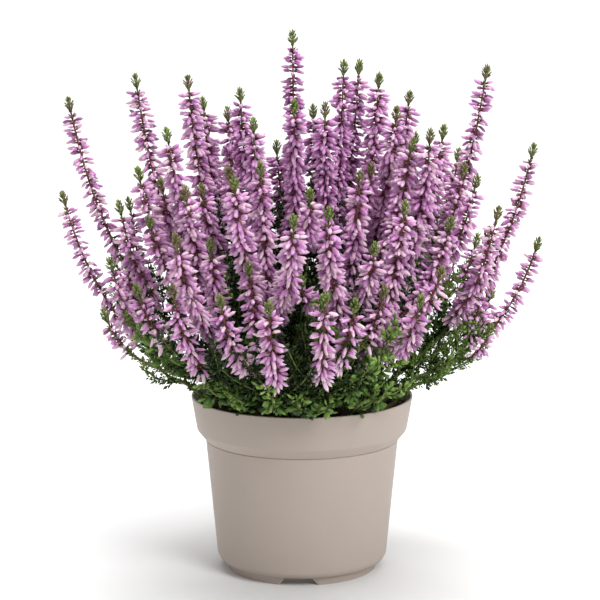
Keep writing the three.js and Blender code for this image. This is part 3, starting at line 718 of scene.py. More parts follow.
def mottle_group():
    """Colour times 1 + 4 amount (noise - 0.5), over the piece's own coordinates, and the noise."""
    inputs = {"Color": (0.5, 0.5, 0.5, 1.0), "Scale": 100.0, "Amount": 0.1}
    outputs = {"Color": "NodeSocketColor", "Height": "NodeSocketFloat"}
    tree, start, end = new_group("mottle", inputs, outputs)
    where = tree.nodes.new("ShaderNodeTexCoord")
    noise = tree.nodes.new("ShaderNodeTexNoise")
    noise.inputs["Detail"].default_value = 3.0
    tree.links.new(where.outputs["Object"], noise.inputs["Vector"])
    tree.links.new(start.outputs["Scale"], noise.inputs["Scale"])
    centred = math_node(tree, "SUBTRACT", noise.outputs["Fac"], 0.5)
    widened = math_node(tree, "MULTIPLY", centred, 4.0)
    swing = math_node(tree, "MULTIPLY", widened, start.outputs["Amount"])
    gain = math_node(tree, "ADD", swing, 1.0)
    grey = tree.nodes.new("ShaderNodeCombineColor")
    for channel in grey.inputs:
        tree.links.new(gain, channel)
    tinted = mixed(tree, 1.0, start.outputs["Color"], grey.outputs["Color"], "MULTIPLY")
    tree.links.new(tinted, end.inputs["Color"])
    tree.links.new(noise.outputs["Fac"], end.inputs["Height"])
    return tree


def growth_group():
    """Colour of a leaf or bud: foot, middle and end colours by the mark u, and a shift by v.

    The mark u blends foot into middle from Foot Start to Foot End, and middle into end from Tip
    Start to 1. The mark v then blends the result towards Other by v^2 times Spread, and dims it by
    Dim where v is 0, by less and less up to Dim Until. Leaves and buds get a low v deep in the bush,
    so there this dimming is painted shade.
    """
    inputs = {
        "Foot": (0.1, 0.1, 0.1, 1.0),
        "Middle": (0.5, 0.5, 0.5, 1.0),
        "End": (0.9, 0.9, 0.9, 1.0),
        "Other": (0.5, 0.5, 0.5, 1.0),
        "Foot Start": 0.1,
        "Foot End": 0.4,
        "Tip Start": 0.6,
        "Spread": 0.5,
        "Dim": 0.3,
        "Dim Until": 0.3,
    }
    tree, start, end = new_group("growth_tone", inputs, {"Color": "NodeSocketColor"})
    given = start.outputs
    u, v = growth_marks(tree)
    foot_ends = {"From Min": given["Foot Start"], "From Max": given["Foot End"]}
    past_foot = smooth_range(tree, u, foot_ends)
    at_tip = smooth_range(tree, u, {"From Min": given["Tip Start"]})
    lower = mixed(tree, past_foot, given["Foot"], given["Middle"])
    upper = mixed(tree, at_tip, lower, given["End"])
    other_share = math_node(tree, "MULTIPLY", math_node(tree, "MULTIPLY", v, v), given["Spread"])
    spread = mixed(tree, other_share, upper, given["Other"])
    dim_ends = {"From Max": given["Dim Until"], "To Min": given["Dim"], "To Max": 0.0}
    dimmed = mixed(tree, smooth_range(tree, v, dim_ends), spread, (0.0, 0.0, 0.0, 1.0))
    tree.links.new(dimmed, end.inputs["Color"])
    return tree


MOTTLE = mottle_group()
GROWTH_TONE = growth_group()


def placed_group(tree, group, values):
    """The group as a node in a material, with its own values or links for its named inputs."""
    node = tree.nodes.new("ShaderNodeGroup")
    node.node_tree = group
    for label, value in values.items():
        feed(tree, node.inputs[label], value)
    return node


def new_material(name, colour, roughness, specular, sheen=0.0):
    """A material with one Principled shader; its plain colour stands where nodes can't be read."""
    material = bpy.data.materials.new(name)
    material.use_nodes = True
    material.diffuse_color = colour
    shader = material.node_tree.nodes["Principled BSDF"]
    shader.inputs["Base Color"].default_value = colour
    shader.inputs["Roughness"].default_value = roughness
    shader.inputs["Specular IOR Level"].default_value = specular
    shader.inputs["Sheen Weight"].default_value = sheen
    return material, material.node_tree, shader


def mottled(tree, shader, colour, scale, amount, bump=None):
    """Feeds a colour through MOTTLE into the shader; bump is the distance and strength of a grain."""
    mottle = placed_group(tree, MOTTLE, {"Color": colour, "Scale": scale, "Amount": amount})
    tree.links.new(mottle.outputs["Color"], shader.inputs["Base Color"])
    if bump:
        grain = tree.nodes.new("ShaderNodeBump")
        grain.inputs["Distance"].default_value, grain.inputs["Strength"].default_value = bump
        tree.links.new(mottle.outputs["Height"], grain.inputs["Height"])
        tree.links.new(grain.outputs["Normal"], shader.inputs["Normal"])


def toned_material(name, roughness, specular, tones, scale, amount, bump=None, sheen=0.0):
    """A material coloured by GROWTH_TONE with these tones, then by MOTTLE."""
    material, tree, shader = new_material(name, tones["Middle"], roughness, specular, sheen)
    tone = placed_group(tree, GROWTH_TONE, tones)
    mottled(tree, shader, tone.outputs["Color"], scale, amount, bump)
    return material


def pot_plastic():
    """Matte taupe plastic with a very faint cloudiness and a fine moulded grain."""
    taupe = linear(177, 164, 154)
    material, tree, shader = new_material("pot_plastic", taupe, 0.5, 0.35)
    cloud = placed_group(tree, MOTTLE, {"Color": taupe, "Scale": 45.0, "Amount": 0.012})
    mottled(tree, shader, cloud.outputs["Color"], 900.0, 0.01, (0.00012, 0.25))
    return material


def peat_crumb():
    """Dark brown peat, partly its own colour and partly painted shade under the plant: dimmed nearly
    black on its body between the crumbs, with lighter and redder crumbs by the mark v.
    """
    brown = linear(36, 26, 20)
    tones = {
        "Foot": brown,
        "Middle": brown,
        "End": linear(58, 41, 31),
        "Other": linear(118, 84, 58),
        "Spread": 0.9,
        # Painted shade on the peat's body, whose v is 0; on the crumbs it dims at random by v
        "Dim": 0.2,
    }
    return toned_material("peat_crumb", 0.95, 0.2, tones, 420.0, 0.35, bump=(0.0006, 0.6))


def leaf_scale():
    """Scale leaves: deep green at the foot, partly painted shade where each meets its twig, fresh green
    above, lighter towards the end, partly as painted highlight, and yellow-green on the young ones
    and, as painted highlight, on the outer lit ones; Dim paints shade on those deep in the bush.
    """
    tones = {
        "Foot": linear(22, 40, 10),
        "Middle": linear(54, 86, 28),
        "End": linear(88, 128, 54),
        "Other": linear(144, 174, 86),
        "Foot Start": 0.0,
        "Foot End": 0.45,
        "Tip Start": 0.5,
        "Spread": 1.0,
        # Painted shade on the leaves with a low v, deep in the bush
        "Dim": 0.82,
        "Dim Until": 0.42,
    }
    return toned_material("leaf_scale", 0.5, 0.25, tones, 220.0, 0.16)


def crown_leaf():
    """The leafy tips of the spikes: olive green, browner at the foot."""
    tones = {
        "Foot": linear(124, 90, 84),
        "Middle": linear(110, 126, 66),
        "End": linear(104, 112, 66),
        "Other": linear(140, 165, 70),
        "Foot Start": 0.0,
        "Foot End": 0.4,
        "Tip Start": 0.8,
        "Spread": 0.8,
    }
    return toned_material("crown_leaf", 0.55, 0.35, tones, 300.0, 0.14)


def bud_petal():
    """Buds: purple-brown at the foot, mauve-pink in the middle, paler at the tip and when faded, paler
    at random and more often on the outer ones as painted highlight, and dimmed by Dim as painted
    shade deep in the bush.
    """
    tones = {
        "Foot": linear(92, 46, 70),
        "Middle": linear(200, 122, 190),
        "End": linear(228, 183, 226),
        "Other": linear(246, 222, 226),
        "Foot Start": 0.06,
        "Foot End": 0.36,
        "Tip Start": 0.45,
        "Spread": 0.8,
        # Painted shade on the buds with a low v, deep in the bush
        "Dim": 0.5,
        "Dim Until": 0.22,
    }
    return toned_material("bud_petal", 0.55, 0.3, tones, 60.0, 0.1, sheen=0.15)


def stalk_bark():
    """Stem colour by the mark u: grey-brown at the root, olive, red-brown by the flowers, green."""
    maroon = linear(122, 72, 74)
    material, tree, shader = new_material("stalk_bark", maroon, 0.6, 0.3)
    u, _ = growth_marks(tree)
    ramp = tree.nodes.new("ShaderNodeValToRGB")
    tree.links.new(u, ramp.inputs["Fac"])
    stops = [
        (0.0, linear(88, 76, 52)),
        (0.3, linear(108, 124, 60)),
        (0.55, linear(112, 100, 62)),
        (0.75, maroon),
        (0.92, maroon),
        (1.0, linear(110, 122, 66)),
    ]
    while len(ramp.color_ramp.elements) < len(stops):
        ramp.color_ramp.elements.new(0.5)
    for element, (position, colour) in zip(ramp.color_ramp.elements, stops):
        element.position = position
        element.color = colour
    mottled(tree, shader, ramp.outputs["Color"], 350.0, 0.15)
    return material


def sweep_white():
    """Plain pale floor and backdrop."""
    return new_material("sweep_white", (0.82, 0.82, 0.82, 1.0), 0.9, 0.1)[0]


# ---- Pot -----------------------------------------------------------------------------------------

POT_COLUMNS = 112
DRAIN_COLUMNS = 24
FILLET_STEPS = 5
CORNER_STEPS = 9
LIP_RADIUS = 0.6
INNER_LIP_RADIUS = 0.54
COLLAR_FILLET = 3.2
STEP_FILLET = 0.8
STEP_GROOVE = 0.36
FOOT_FILLET = 0.35


def filleted(corners):
    """Outline with round corners: each (radius, height, fillet) corner becomes an arc.

    The arc touches both sides at fillet * tan(half the turn) from the corner, and its points are
    the blend of those two places through the corner: (1-t)^2 a + 2 t (1-t) corner + t^2 b.
    """
    places = np.array([corner[:2] for corner in corners], float)
    outline = [places[0]]
    for before, (r, z, fillet), after in zip(places[:-2], corners[1:-1], places[2:]):
        here = np.array([r, z])
        back, ahead = unit(before - here), unit(after - here)
        turn = np.pi - math.acos(np.clip(back @ ahead, -1, 1))
        reach = fillet * math.tan(turn / 2)
        if reach == 0:
            outline.append(here)
            continue
        for t in np.linspace(0, 1, FILLET_STEPS):
            start, stop = here + back * reach, here + ahead * reach
            outline.append((1 - t) ** 2 * start + 2 * t * (1 - t) * here + t**2 * stop)
    return np.array([*outline, places[-1]])


def base_corner(offset):
    """Quarter arc from the foot ring out to the body's foot, moved in by an offset."""
    angle = np.linspace(0, np.pi / 2, CORNER_STEPS)
    width = BODY_FOOT_RADIUS - FOOT_TOP_RADIUS
    height = CORNER_HEIGHT - FOOT_HEIGHT
    r = FOOT_TOP_RADIUS - offset + width * np.sin(angle)
    z = CORNER_HEIGHT - height * np.cos(angle) + offset * np.cos(angle)
    return [(a, b, 0) for a, b in zip(r, z)]


def pot_outline():
    """Half section of the pot from the middle of its underside to the middle of its floor."""
    outside = [
        (FOOT_RADIUS - FOOT_THICKNESS, FOOT_HEIGHT, 0),
        (FOOT_RADIUS - FOOT_THICKNESS, 0, FOOT_FILLET),
        (FOOT_RADIUS, 0, FOOT_FILLET),
        *base_corner(0),
        (BODY_TOP_RADIUS, BODY_TOP_HEIGHT - STEP_GROOVE, 0),
        (BODY_TOP_RADIUS - STEP_GROOVE, BODY_TOP_HEIGHT, 0),
        (BODY_TOP_RADIUS - STEP_GROOVE, BODY_TOP_HEIGHT + STEP_GROOVE / 2, 0),
        (BODY_TOP_RADIUS + STEP_GROOVE, BODY_TOP_HEIGHT + STEP_GROOVE, STEP_GROOVE / 4),
        (COLLAR_FOOT_RADIUS, COLLAR_FOOT_HEIGHT, COLLAR_FILLET),
        (RIM_RADIUS, POT_HEIGHT, LIP_RADIUS),
    ]
    inside = [
        (RIM_RADIUS - WALL, POT_HEIGHT, INNER_LIP_RADIUS),
        (COLLAR_FOOT_RADIUS - WALL, COLLAR_FOOT_HEIGHT, STEP_FILLET),
        (BODY_TOP_RADIUS - WALL, BODY_TOP_HEIGHT, STEP_FILLET),
        *base_corner(WALL)[::-1],
    ]
    return filleted([(0, FOOT_HEIGHT, 0), *outside, *inside, (0, FLOOR_HEIGHT, 0)])


def notch_rise(angle):
    """Height that the foot ring's edge is raised to: a trapezoid at each of the four notches."""
    step = 2 * np.pi / NOTCH_COUNT
    off = (angle - NOTCH_TURN + step / 2) % step - step / 2
    beside = FOOT_RADIUS * np.abs(np.sin(off))
    slope = (NOTCH_FOOT_WIDTH / 2 - beside) / (NOTCH_FOOT_WIDTH / 2 - NOTCH_TOP_WIDTH / 2)
    return NOTCH_HEIGHT * np.clip(slope, 0, 1)


def pot_shape():
    """The outline turned about Z, with the lowest edge lifted where the foot ring is notched.

    Point = (r cos a, r sin a, max(z, rise(a))) below the notch's top. Columns stand at even angles
    and at every notch corner.
    """
    outline = pot_outline()
    even = np.linspace(-np.pi, np.pi, POT_COLUMNS, endpoint=False)
    edges = [math.asin(width / 2 / FOOT_RADIUS) for width in (NOTCH_TOP_WIDTH, NOTCH_FOOT_WIDTH)]
    middles = NOTCH_TURN + np.arange(NOTCH_COUNT) * 2 * np.pi / NOTCH_COUNT
    corners = [middle + side * edge for middle in middles for edge in edges for side in (-1, 1)]
    angle = np.unique(np.round((np.array([*even, *corners]) + np.pi) % (2 * np.pi), 6)) - np.pi
    r, z = outline[1:-1, 0][:, None], outline[1:-1, 1][:, None]
    lifted = np.where(z < NOTCH_HEIGHT, np.maximum(z, notch_rise(angle)), z)
    rows = np.stack([r * np.cos(angle), r * np.sin(angle), lifted + 0 * r], axis=-1)
    foot, head = ([0, 0, outline[end, 1]] for end in (0, -1))
    return skin(rows, np.array(foot), np.array(head), np.zeros(len(r)))


def drill_drains(pot):
    """Takes the drainage holes out of the pot's floor with one Boolean."""
    drills = []
    for turn in np.arange(DRAIN_COUNT) * 2 * np.pi / DRAIN_COUNT:
        centre = np.array([math.cos(turn), math.sin(turn), 0]) * DRAIN_RING_RADIUS
        ends = centre + UP * np.array([[FOOT_HEIGHT - WALL], [FOOT_HEIGHT + 2 * WALL]])
        drills.append(tube(ends, [DRAIN_RADIUS, DRAIN_RADIUS], DRAIN_COLUMNS, [0, 0]))
    drill = fill_mesh("drain_drill", [(joined(drills), pot.data.materials[0])])
    cut = pot.modifiers.new("drains", "BOOLEAN")
    cut.operation = "DIFFERENCE"
    cut.solver = "EXACT"
    cut.object = drill
    graph = bpy.context.evaluated_depsgraph_get()
    drilled = bpy.data.meshes.new_from_object(pot.evaluated_get(graph))
    pot.modifiers.clear()
    pot.data = drilled
    bpy.data.objects.remove(drill)


# ---- Peat ----------------------------------------------------------------------------------------

PEAT_COLUMNS = 120
PEAT_TOP_ROWS = 34
CORNER_ROOM = 1.0
STEP_ROOM = 0.3
CRUMB_COUNT = 1300
CRUMB_LENGTH = 1.7
CRUMB_HALF_WIDTH = 0.75
FIBRE_COUNT = 220
FIBRE_LENGTH = 7.0
FIBRE_HALF_WIDTH = 0.2
BITS_RADIUS = RIM_RADIUS - 2.5 * WALL - 1
BITS_SEED = 11


def rough_peat_height(x, y):
    """The peat's low mound, roughened by four crossed waves of 2 to 6 mm."""
    waves = np.sin(x * 1.31 + 0.9 * np.sin(y * 0.83)) * np.sin(y * 1.17 + 1.1 * np.sin(x * 0.71))
    fine = np.sin(x * 2.9 + y * 1.7) * np.sin(y * 3.3 - x * 1.2)
    return peat_height(x, y) + 0.35 * waves + 0.2 * fine


def peat_shape():
    """Closed body: up the pot's inner wall, and inwards over the rough top in even rings."""
    floor = FLOOR_HEIGHT + PEAT_GAP
    inset = WALL + PEAT_GAP
    slope = (RIM_RADIUS - COLLAR_FOOT_RADIUS) / COLLAR_HEIGHT
    edge = COLLAR_FOOT_RADIUS + (PEAT_EDGE - COLLAR_FOOT_HEIGHT) * slope - inset
    wall = [
        (FOOT_TOP_RADIUS - inset - CORNER_ROOM, floor),
        (BODY_FOOT_RADIUS - inset, CORNER_HEIGHT + CORNER_ROOM),
        (BODY_TOP_RADIUS - inset, BODY_TOP_HEIGHT + STEP_ROOM),
        (COLLAR_FOOT_RADIUS - inset, COLLAR_FOOT_HEIGHT + STEP_ROOM),
    ]
    top = [(edge * share, PEAT_EDGE) for share in np.linspace(1, 0.03, PEAT_TOP_ROWS)]
    r, z = np.array([*wall, *top]).T[..., None]
    angle = np.linspace(0, 2 * np.pi, PEAT_COLUMNS, endpoint=False)
    x, y = r * np.cos(angle), r * np.sin(angle)
    height = np.where(z >= PEAT_EDGE, rough_peat_height(x, y), z)
    rows = np.stack([x, y, height], axis=-1)
    middle = rough_peat_height(0.0, 0.0)
    return skin(rows, np.array([0, 0, floor]), np.array([0, 0, middle]), np.zeros(len(r)))


def scattered_bits(shape, count, length, half_width, rng):
    """Copies of a shape lying any way round, evenly over the peat: radius = edge * sqrt(random)."""
    radius = BITS_RADIUS * np.sqrt(rng.random(count))
    turn = rng.random(count) * 2 * np.pi
    x, y = radius * np.cos(turn), radius * np.sin(turn)
    along = rng.normal(size=(count, 3)) * [1, 1, 0.25]
    width = half_width * rng.uniform(0.5, 1.1, count)
    sizes = slender(width, length * rng.uniform(0.5, 1.2, count))
    along = unit(along)
    origins = np.stack([x, y, rough_peat_height(x, y) + 0.2], axis=-1) - along * sizes[:, 2:] / 2
    reach = np.hypot(origins[:, 0], origins[:, 1])
    origins[:, :2] *= np.minimum(1, BITS_RADIUS / reach)[:, None]
    over = rng.normal(size=(count, 3))
    return copies(shape, origins, along, over, sizes, rng.random(count) ** 1.5)


def peat_bits():
    """Crumbs half sunk in the top of the peat, and short fibres lying on it."""
    rng = np.random.default_rng(BITS_SEED)
    crumb = spindle([0.25, 0.7], [0.9, 1.0], 4)
    fibre = spindle([0.05, 0.95], [1.0, 0.7], 3)
    crumbs = scattered_bits(crumb, CRUMB_COUNT, CRUMB_LENGTH, CRUMB_HALF_WIDTH, rng)
    return joined([crumbs, scattered_bits(fibre, FIBRE_COUNT, FIBRE_LENGTH, FIBRE_HALF_WIDTH, rng)])


# ---- Leaves --------------------------------------------------------------------------------------

SCALE_LEAF = spindle([0.5], [1.0], 3, 0.6)
LOBE_LEAF = spindle([0.3, 0.68], [0.6, 1.0], 4, 0.4)
CROWN_LEAF = spindle([0.2, 0.7], [0.8, 1.0], 4, 0.6)


class TwigKind:
    """Sizes of one kind of leafy twig, which has crossed pairs of leaves and one more at its end.

    Twigs stand a pitch apart on their stem. The leaves' spread off the twig goes from the first to
    the second of spreads, in degrees, up its length.
    """

    def __init__(self, leaf, pairs, length, pitch, leaf_length, leaf_width, spreads):
        level = twice(np.arange(pairs)) / pairs
        first, last = np.radians(spreads)
        self.leaf = leaf
        self.pitch = pitch
        self.step = np.append(0.08 + 0.84 * level, 0.9) * length
        self.spread = np.append(first + (last - first) * level, 0.05)
        self.turn = np.append(pair_turns(pairs, np.pi / 2), 0.0)
        self.leaf_size = np.array([leaf_width, leaf_width, leaf_length])


FINE_TWIG = TwigKind(
    SCALE_LEAF, pairs=4, length=5.4, pitch=3.5, leaf_length=2.8, leaf_width=0.72, spreads=[50, 32]
)
LOBED_TWIG = TwigKind(
    LOBE_LEAF, pairs=2, length=6.2, pitch=7.0, leaf_length=7.4, leaf_width=2.2, spreads=[60, 40]
)
COARSE_TWIG = TwigKind(
    SCALE_LEAF, pairs=3, length=5.6, pitch=4.6, leaf_length=4.8, leaf_width=1.4, spreads=[52, 34]
)
OUTER_TWIG = TwigKind(
    SCALE_LEAF, pairs=2, length=3.2, pitch=2.3, leaf_length=3.4, leaf_width=0.95, spreads=[50, 34]
)
# How far out a plant's tip is, to the front or back and to the side, for its kind of twig.
LOBED_FROM = 55.0
OUTER_FROM = 75.0
TWIG_RISE = math.radians(46)
TWIG_TWIST = math.radians(97)
RIM_ROOM = 7.0
# Distances from the middle of the bush over which the leaves' tone goes from dark to light: painted
# shade deep in the bush, and painted light out to the sides, less of it on the left.
DARK_MIDDLE = 18.0
OPEN_OUTSIDE = 60.0
SHADED_INSIDE = 50.0
LIT_OUTSIDE = 80.0
LEFT_LIGHT = 0.3


def clear_of_rim(directions, places):
    """The same directions, turned up at places as low as the pot's rim."""
    is_low = places[..., 2:] < POT_HEIGHT + RIM_ROOM
    return np.where(is_low, np.abs(directions) * UP + directions * (1 - UP), directions)


def twig_kind(tip, plain):
    """Kind of twig on a plant with this tip: lobed in front and behind, outer at both sides."""
    if abs(tip[1]) > LOBED_FROM:
        return LOBED_TWIG
    return OUTER_TWIG if abs(tip[0]) > OUTER_FROM else plain


def openness(points):
    """How near the outside of the bush a place is: 0 at DARK_MIDDLE from its axis, 1 farther out."""
    return ramp(np.hypot(points[..., 0], points[..., 1]), DARK_MIDDLE, OPEN_OUTSIDE)


def sunlit(points):
    """Share of full light that even the shaded leaves get, far out to the sides: most at the right."""
    share = ramp(np.abs(points[..., 0]), SHADED_INSIDE, LIT_OUTSIDE)
    return np.where(points[..., 0] > 0, share, LEFT_LIGHT * share)


def twigs(line, start, end, reach, rng, kind=FINE_TWIG, light=1.0):
    """Pairs of short leafy twigs along a line, each pair turned a little past square to the last.

    A twig points along out * cos(rise) + along * sin(rise), and is smaller the farther up it is.
    """
    count = max(2, round((end - start) / kind.pitch))
    points = line.even(start, end, count)
    along, beside, over = pair_frames(points)
    turn = pair_turns(count, TWIG_TWIST)
    turn += rng.normal(0, 0.3, len(turn)) + rng.random() * 6
    out = turned(beside, over, turn)
    rise = TWIG_RISE + rng.normal(0, 0.16, len(turn))
    heading = clear_of_rim(unit(turned(out, along, rise)), twice(points))
    share = twice(np.linspace(0, 1, count))
    size = reach / SHOOT_LEAF_REACH * (1.12 - 0.35 * share) * rng.uniform(0.75, 1.12, len(turn))
    side = np.cross(heading, along)
    return leafy_twigs(kind, twice(points), heading, side, size, share, light, rng)


def leafy_twigs(kind, origins, heading, side, size, youth, light, rng):
    """All leaves of many twigs at once: base = origin + size * step * heading, spread off the twig.

    The mark v, which turns leaves yellower and, where low, dims them, grows with youth and towards
    the outside of the bush: partly the young leaves' own colour, partly painted highlight outside and
    painted shade deep in the bush.
    """
    count, leaves = len(origins), len(kind.step)
    up = np.cross(heading, side)
    spread = kind.spread + rng.normal(0, 0.12, (count, leaves))
    out = turned(side[:, None], up[:, None], kind.turn)
    base = origins[:, None] + heading[:, None] * kind.step[:, None] * size[:, None, None]
    along = clear_of_rim(turned(heading[:, None], out, spread), base)
    sizes = kind.leaf_size * (size[:, None] * rng.uniform(0.85, 1.1, (count, leaves)))[..., None]
    tone = 0.45 * youth[:, None] + 0.55 * rng.random((count, leaves))
    # Painted shade: lower v deep in the bush and, for light below 1, away from the sides, most on the
    # left
    tone *= (light + (1 - light) * sunlit(base)) * (0.3 + 0.7 * openness(base))
    return copies(
        kind.leaf,
        base.reshape(-1, 3),
        along.reshape(-1, 3),
        np.repeat(heading, leaves, axis=0) + 1e-3,
        sizes.reshape(-1, 3),
        tone.ravel(),
    )


STALK_LEAF_PITCH = 1.5
STALK_LEAF_LENGTH = 2.6
STALK_LEAF_SLIMNESS = 0.28


def stalk_leaves(line, start, end, radius, rng):
    """Small leaves pressed to a bare stalk, in crossed pairs."""
    count = max(2, round((end - start) / STALK_LEAF_PITCH))
    points = line.even(start, end, count)
    along, beside, over = pair_frames(points)
    turn = pair_turns(count, np.pi / 2)
    out = turned(beside, over, turn + rng.normal(0, 0.2, len(turn)))
    heading = turned(along, out, rng.uniform(0.25, 0.7, len(turn)))
    length = STALK_LEAF_LENGTH * rng.uniform(0.8, 1.2, len(turn))
    sizes = slender(STALK_LEAF_SLIMNESS * length, length)
    origins = twice(points) + out * radius * 0.6
    return copies(SCALE_LEAF, origins, heading, out, sizes, 0.6 * rng.random(len(turn)))


CROWN_PITCH = 0.62
CROWN_LEAF_LENGTH = 3.3
CROWN_LEAF_WIDTH = 0.68
SPEAR_HALF_WIDTH = 0.75
CROWN_TWIST = math.radians(102)
# Some tips have begun to bud: their leaves keep the colour of the leaf's foot over most of it.
RIPE_SHARE = 0.3
RIPE_REACH = 0.3


def green_crown(line, rng):
    """Leafy tip of a spike: crossed pairs of leaves round a body that swells and closes to a spear.

    With s the share of the way up, leaves start 0.35 + 0.6 sin(pi s) from the line and spread from
    it by 0.3 + 0.42 sin(pi s^0.8), times the tip's own openness.
    """
    start = line.length - GREEN_TIP
    top = line.length - CROWN_LEAF_LENGTH
    levels = np.arange(start, top, CROWN_PITCH)
    points = line.at(np.append(levels, top) / line.length)
    along, beside, over = (directions[:-2] for directions in pair_frames(points))
    share = twice((levels - start) / (top - start))
    turn = pair_turns(len(levels), CROWN_TWIST)
    out = turned(beside, over, turn + rng.random() * 6)
    spread = 0.3 + 0.42 * np.sin(share**0.8 * np.pi) * rng.uniform(0.75, 1.2)
    heading = turned(along, out, spread + rng.normal(0, 0.07, len(turn)))
    length = CROWN_LEAF_LENGTH * rng.uniform(0.8, 1.05, len(turn))
    width = CROWN_LEAF_WIDTH * rng.uniform(0.85, 1.15, len(turn))
    origins = twice(points[:-1]) + out * (0.35 + 0.6 * np.sin(share * np.pi))[:, None]
    tone = rng.random(len(turn)) * (0.4 + 0.6 * share)
    pairs = copies(CROWN_LEAF, origins, heading, out, slender(width, length), tone)
    spear_size = slender(np.array([SPEAR_HALF_WIDTH]), np.array([CROWN_LEAF_LENGTH]))
    spear_along = line.heading(1.0)
    foot = line.at(1.0) - spear_along * CROWN_LEAF_LENGTH
    spear = copies(CROWN_LEAF, foot, spear_along, np.array([[1.0, 0, 0]]), spear_size, rng.random(1))
    crown = joined([pairs, spear])
    if rng.random() < RIPE_SHARE:
        crown.marks[:, 0] *= RIPE_REACH
    return crown


# ---- Buds ----------------------------------------------------------------------------------------

BUD_PAIR_PITCH = 1.65
FULL_PAIR_PITCH = 1.9
BUD_LENGTH = 5.0
FULL_BUD_LENGTH = 6.7
BUD_HALF_WIDTH = 1.02
OPEN_AGE_LENGTH = 55.0
FULL_AGE_LENGTH = 18.0
AGE_AT_TOP = 4.0
BUD_TWIST = math.radians(56)
BUD = spindle([0.32, 0.76], [0.92, 0.82], 5)
BRACT = spindle([0.5], [1.0], 3)
BRACT_SHARE = 0.38
BRACT_MARK = 0.8
SECOND_BUD_RISE = 0.8
SECOND_BUD_TURN = 0.85
FADED_LENGTH = 9.0
FADED_SHARE = 0.75
CROWDED = [150.0, 190.0]
# The heights of a tip, and its distances out to the side, over which a spike flowers less.
HIGH_TIP = [270.0, 290.0]
LOW_TIP = [165.0, 150.0]
FAR_TIP = [72.0, 112.0]
OUT_OF_LOW_TIP = [90.0, 98.0]


def fullness(tip):
    """How densely a spike flowers, 0 to 1: full but for the highest and those far out or low there."""
    out = abs(tip[0])
    low = ramp(tip[2], *LOW_TIP) * ramp(out, *OUT_OF_LOW_TIP)
    return 1 - max(0.6 * ramp(tip[2], *HIGH_TIP), 0.7 * ramp(out, *FAR_TIP), 0.8 * low)


def bud_sites(line, start, end, full, rng):
    """Where the buds sit: pairs at even pitch, and second buds beside some of them.

    A bud's age grows from 0 at the top, by the distance down over the age length. The chance of a
    second bud on either side is 0.22 (full + age) + 0.35 full^3 lifted, where lifted goes from 0 to
    1 over the heights in CROWDED. Returns along, beside, over, the place on the stalk, the turn
    round it, the age, lifted, and how near the foot of the spike it is, for each bud.
    """
    pitch = BUD_PAIR_PITCH + (FULL_PAIR_PITCH - BUD_PAIR_PITCH) * full
    pairs = max(3, round((end - start) / pitch))
    distance = start + (end - start) * (np.arange(pairs) + 0.5) / pairs
    age_length = OPEN_AGE_LENGTH + (FULL_AGE_LENGTH - OPEN_AGE_LENGTH) * full
    points = line.at(distance / line.length)
    age = twice(np.clip((end - distance + AGE_AT_TOP) / age_length, 0, 1))
    turn = pair_turns(pairs, BUD_TWIST) + rng.random() * 6
    turn += rng.normal(0, 0.12 + 0.3 * age)
    lifted = twice(ramp(points[:, 2], *CROWDED))
    chance = 0.22 * full + 0.22 * age + 0.35 * full**3 * lifted
    doubled = np.concatenate([np.flatnonzero(rng.random(len(age)) < chance) for _ in range(2)])
    sides = np.append(np.zeros(len(age)), np.sign(np.sort(rng.random(len(doubled))) - 0.5))
    near_foot = twice(np.clip(1 - (distance - start) / FADED_LENGTH, 0, 1))
    rows = [*pair_frames(points), twice(points), turn, age, lifted, near_foot]
    picked = np.append(np.arange(len(age)), doubled)
    along, beside, over, origins, turn, age, lifted, near_foot = (row[picked] for row in rows)
    origins += along * (SECOND_BUD_RISE * np.abs(sides))[:, None]
    turn += SECOND_BUD_TURN * sides
    return along, beside, over, origins, turn, age, lifted, near_foot


def buds(line, start, end, rng):
    """Buds of one spike and the bracts that run from the stalk into them, as two shapes.

    A bud points along out + rise * along - sag * up, where the sag grows with age. The last buds at
    the foot of the spike have faded. High up, full spikes have wider buds.
    """
    full = fullness(line.tip)
    sites = bud_sites(line, start, end, full, rng)
    along, beside, over, origins, turn, age, lifted, near_foot = sites
    out = turned(beside, over, turn)
    rise = np.radians(14 - 16 * age + rng.normal(0, 8 + 12 * age))
    sag = (0.04 + 0.5 * age * rng.uniform(0.1, 1.5, len(age)))[:, None]
    heading = unit(turned(out, along, rise) - UP * sag)
    foot_reach = 0.9 + 1.1 * age * rng.uniform(-0.5, 1.0, len(age))
    feet = origins + out * foot_reach[:, None] + along * 0.3
    grown = np.minimum(1, 0.25 + 1.9 * age)
    longest = BUD_LENGTH + (FULL_BUD_LENGTH - BUD_LENGTH) * full * grown
    length = longest * rng.uniform(0.8, 1.1, len(age))
    width = BUD_HALF_WIDTH * rng.uniform(0.84, 1.16, len(age))
    width *= 1 + 0.14 * full**3 * lifted
    is_faded = rng.random(len(age)) < FADED_SHARE
    # Painted shade and highlight: buds deep in the bush get a low v and are dimmed, outer ones are more
    # often pale; faded buds are pale only towards the outside.
    faded = np.sqrt(near_foot) * openness(feet) * is_faded
    tone = np.maximum(rng.random(len(age)) * (0.35 + 0.65 * openness(feet)), faded)
    petals = copies(BUD, feet, heading, UP + out, slender(width, length), tone)
    along_bud = petals.marks[:, 0]
    along_bud += 0.8 * np.repeat(faded, len(BUD.points)) * (1 - along_bud)
    peg = feet + heading * (length * BRACT_SHARE)[:, None] - origins
    peg_sizes = slender(width * 0.75, np.linalg.norm(peg, axis=1))
    bracts = copies(BRACT, origins, unit(peg), UP + out, peg_sizes, tone)
    bracts.marks[:, 0] = BRACT_MARK
    return petals, bracts


# ---- Stalks --------------------------------------------------------------------------------------

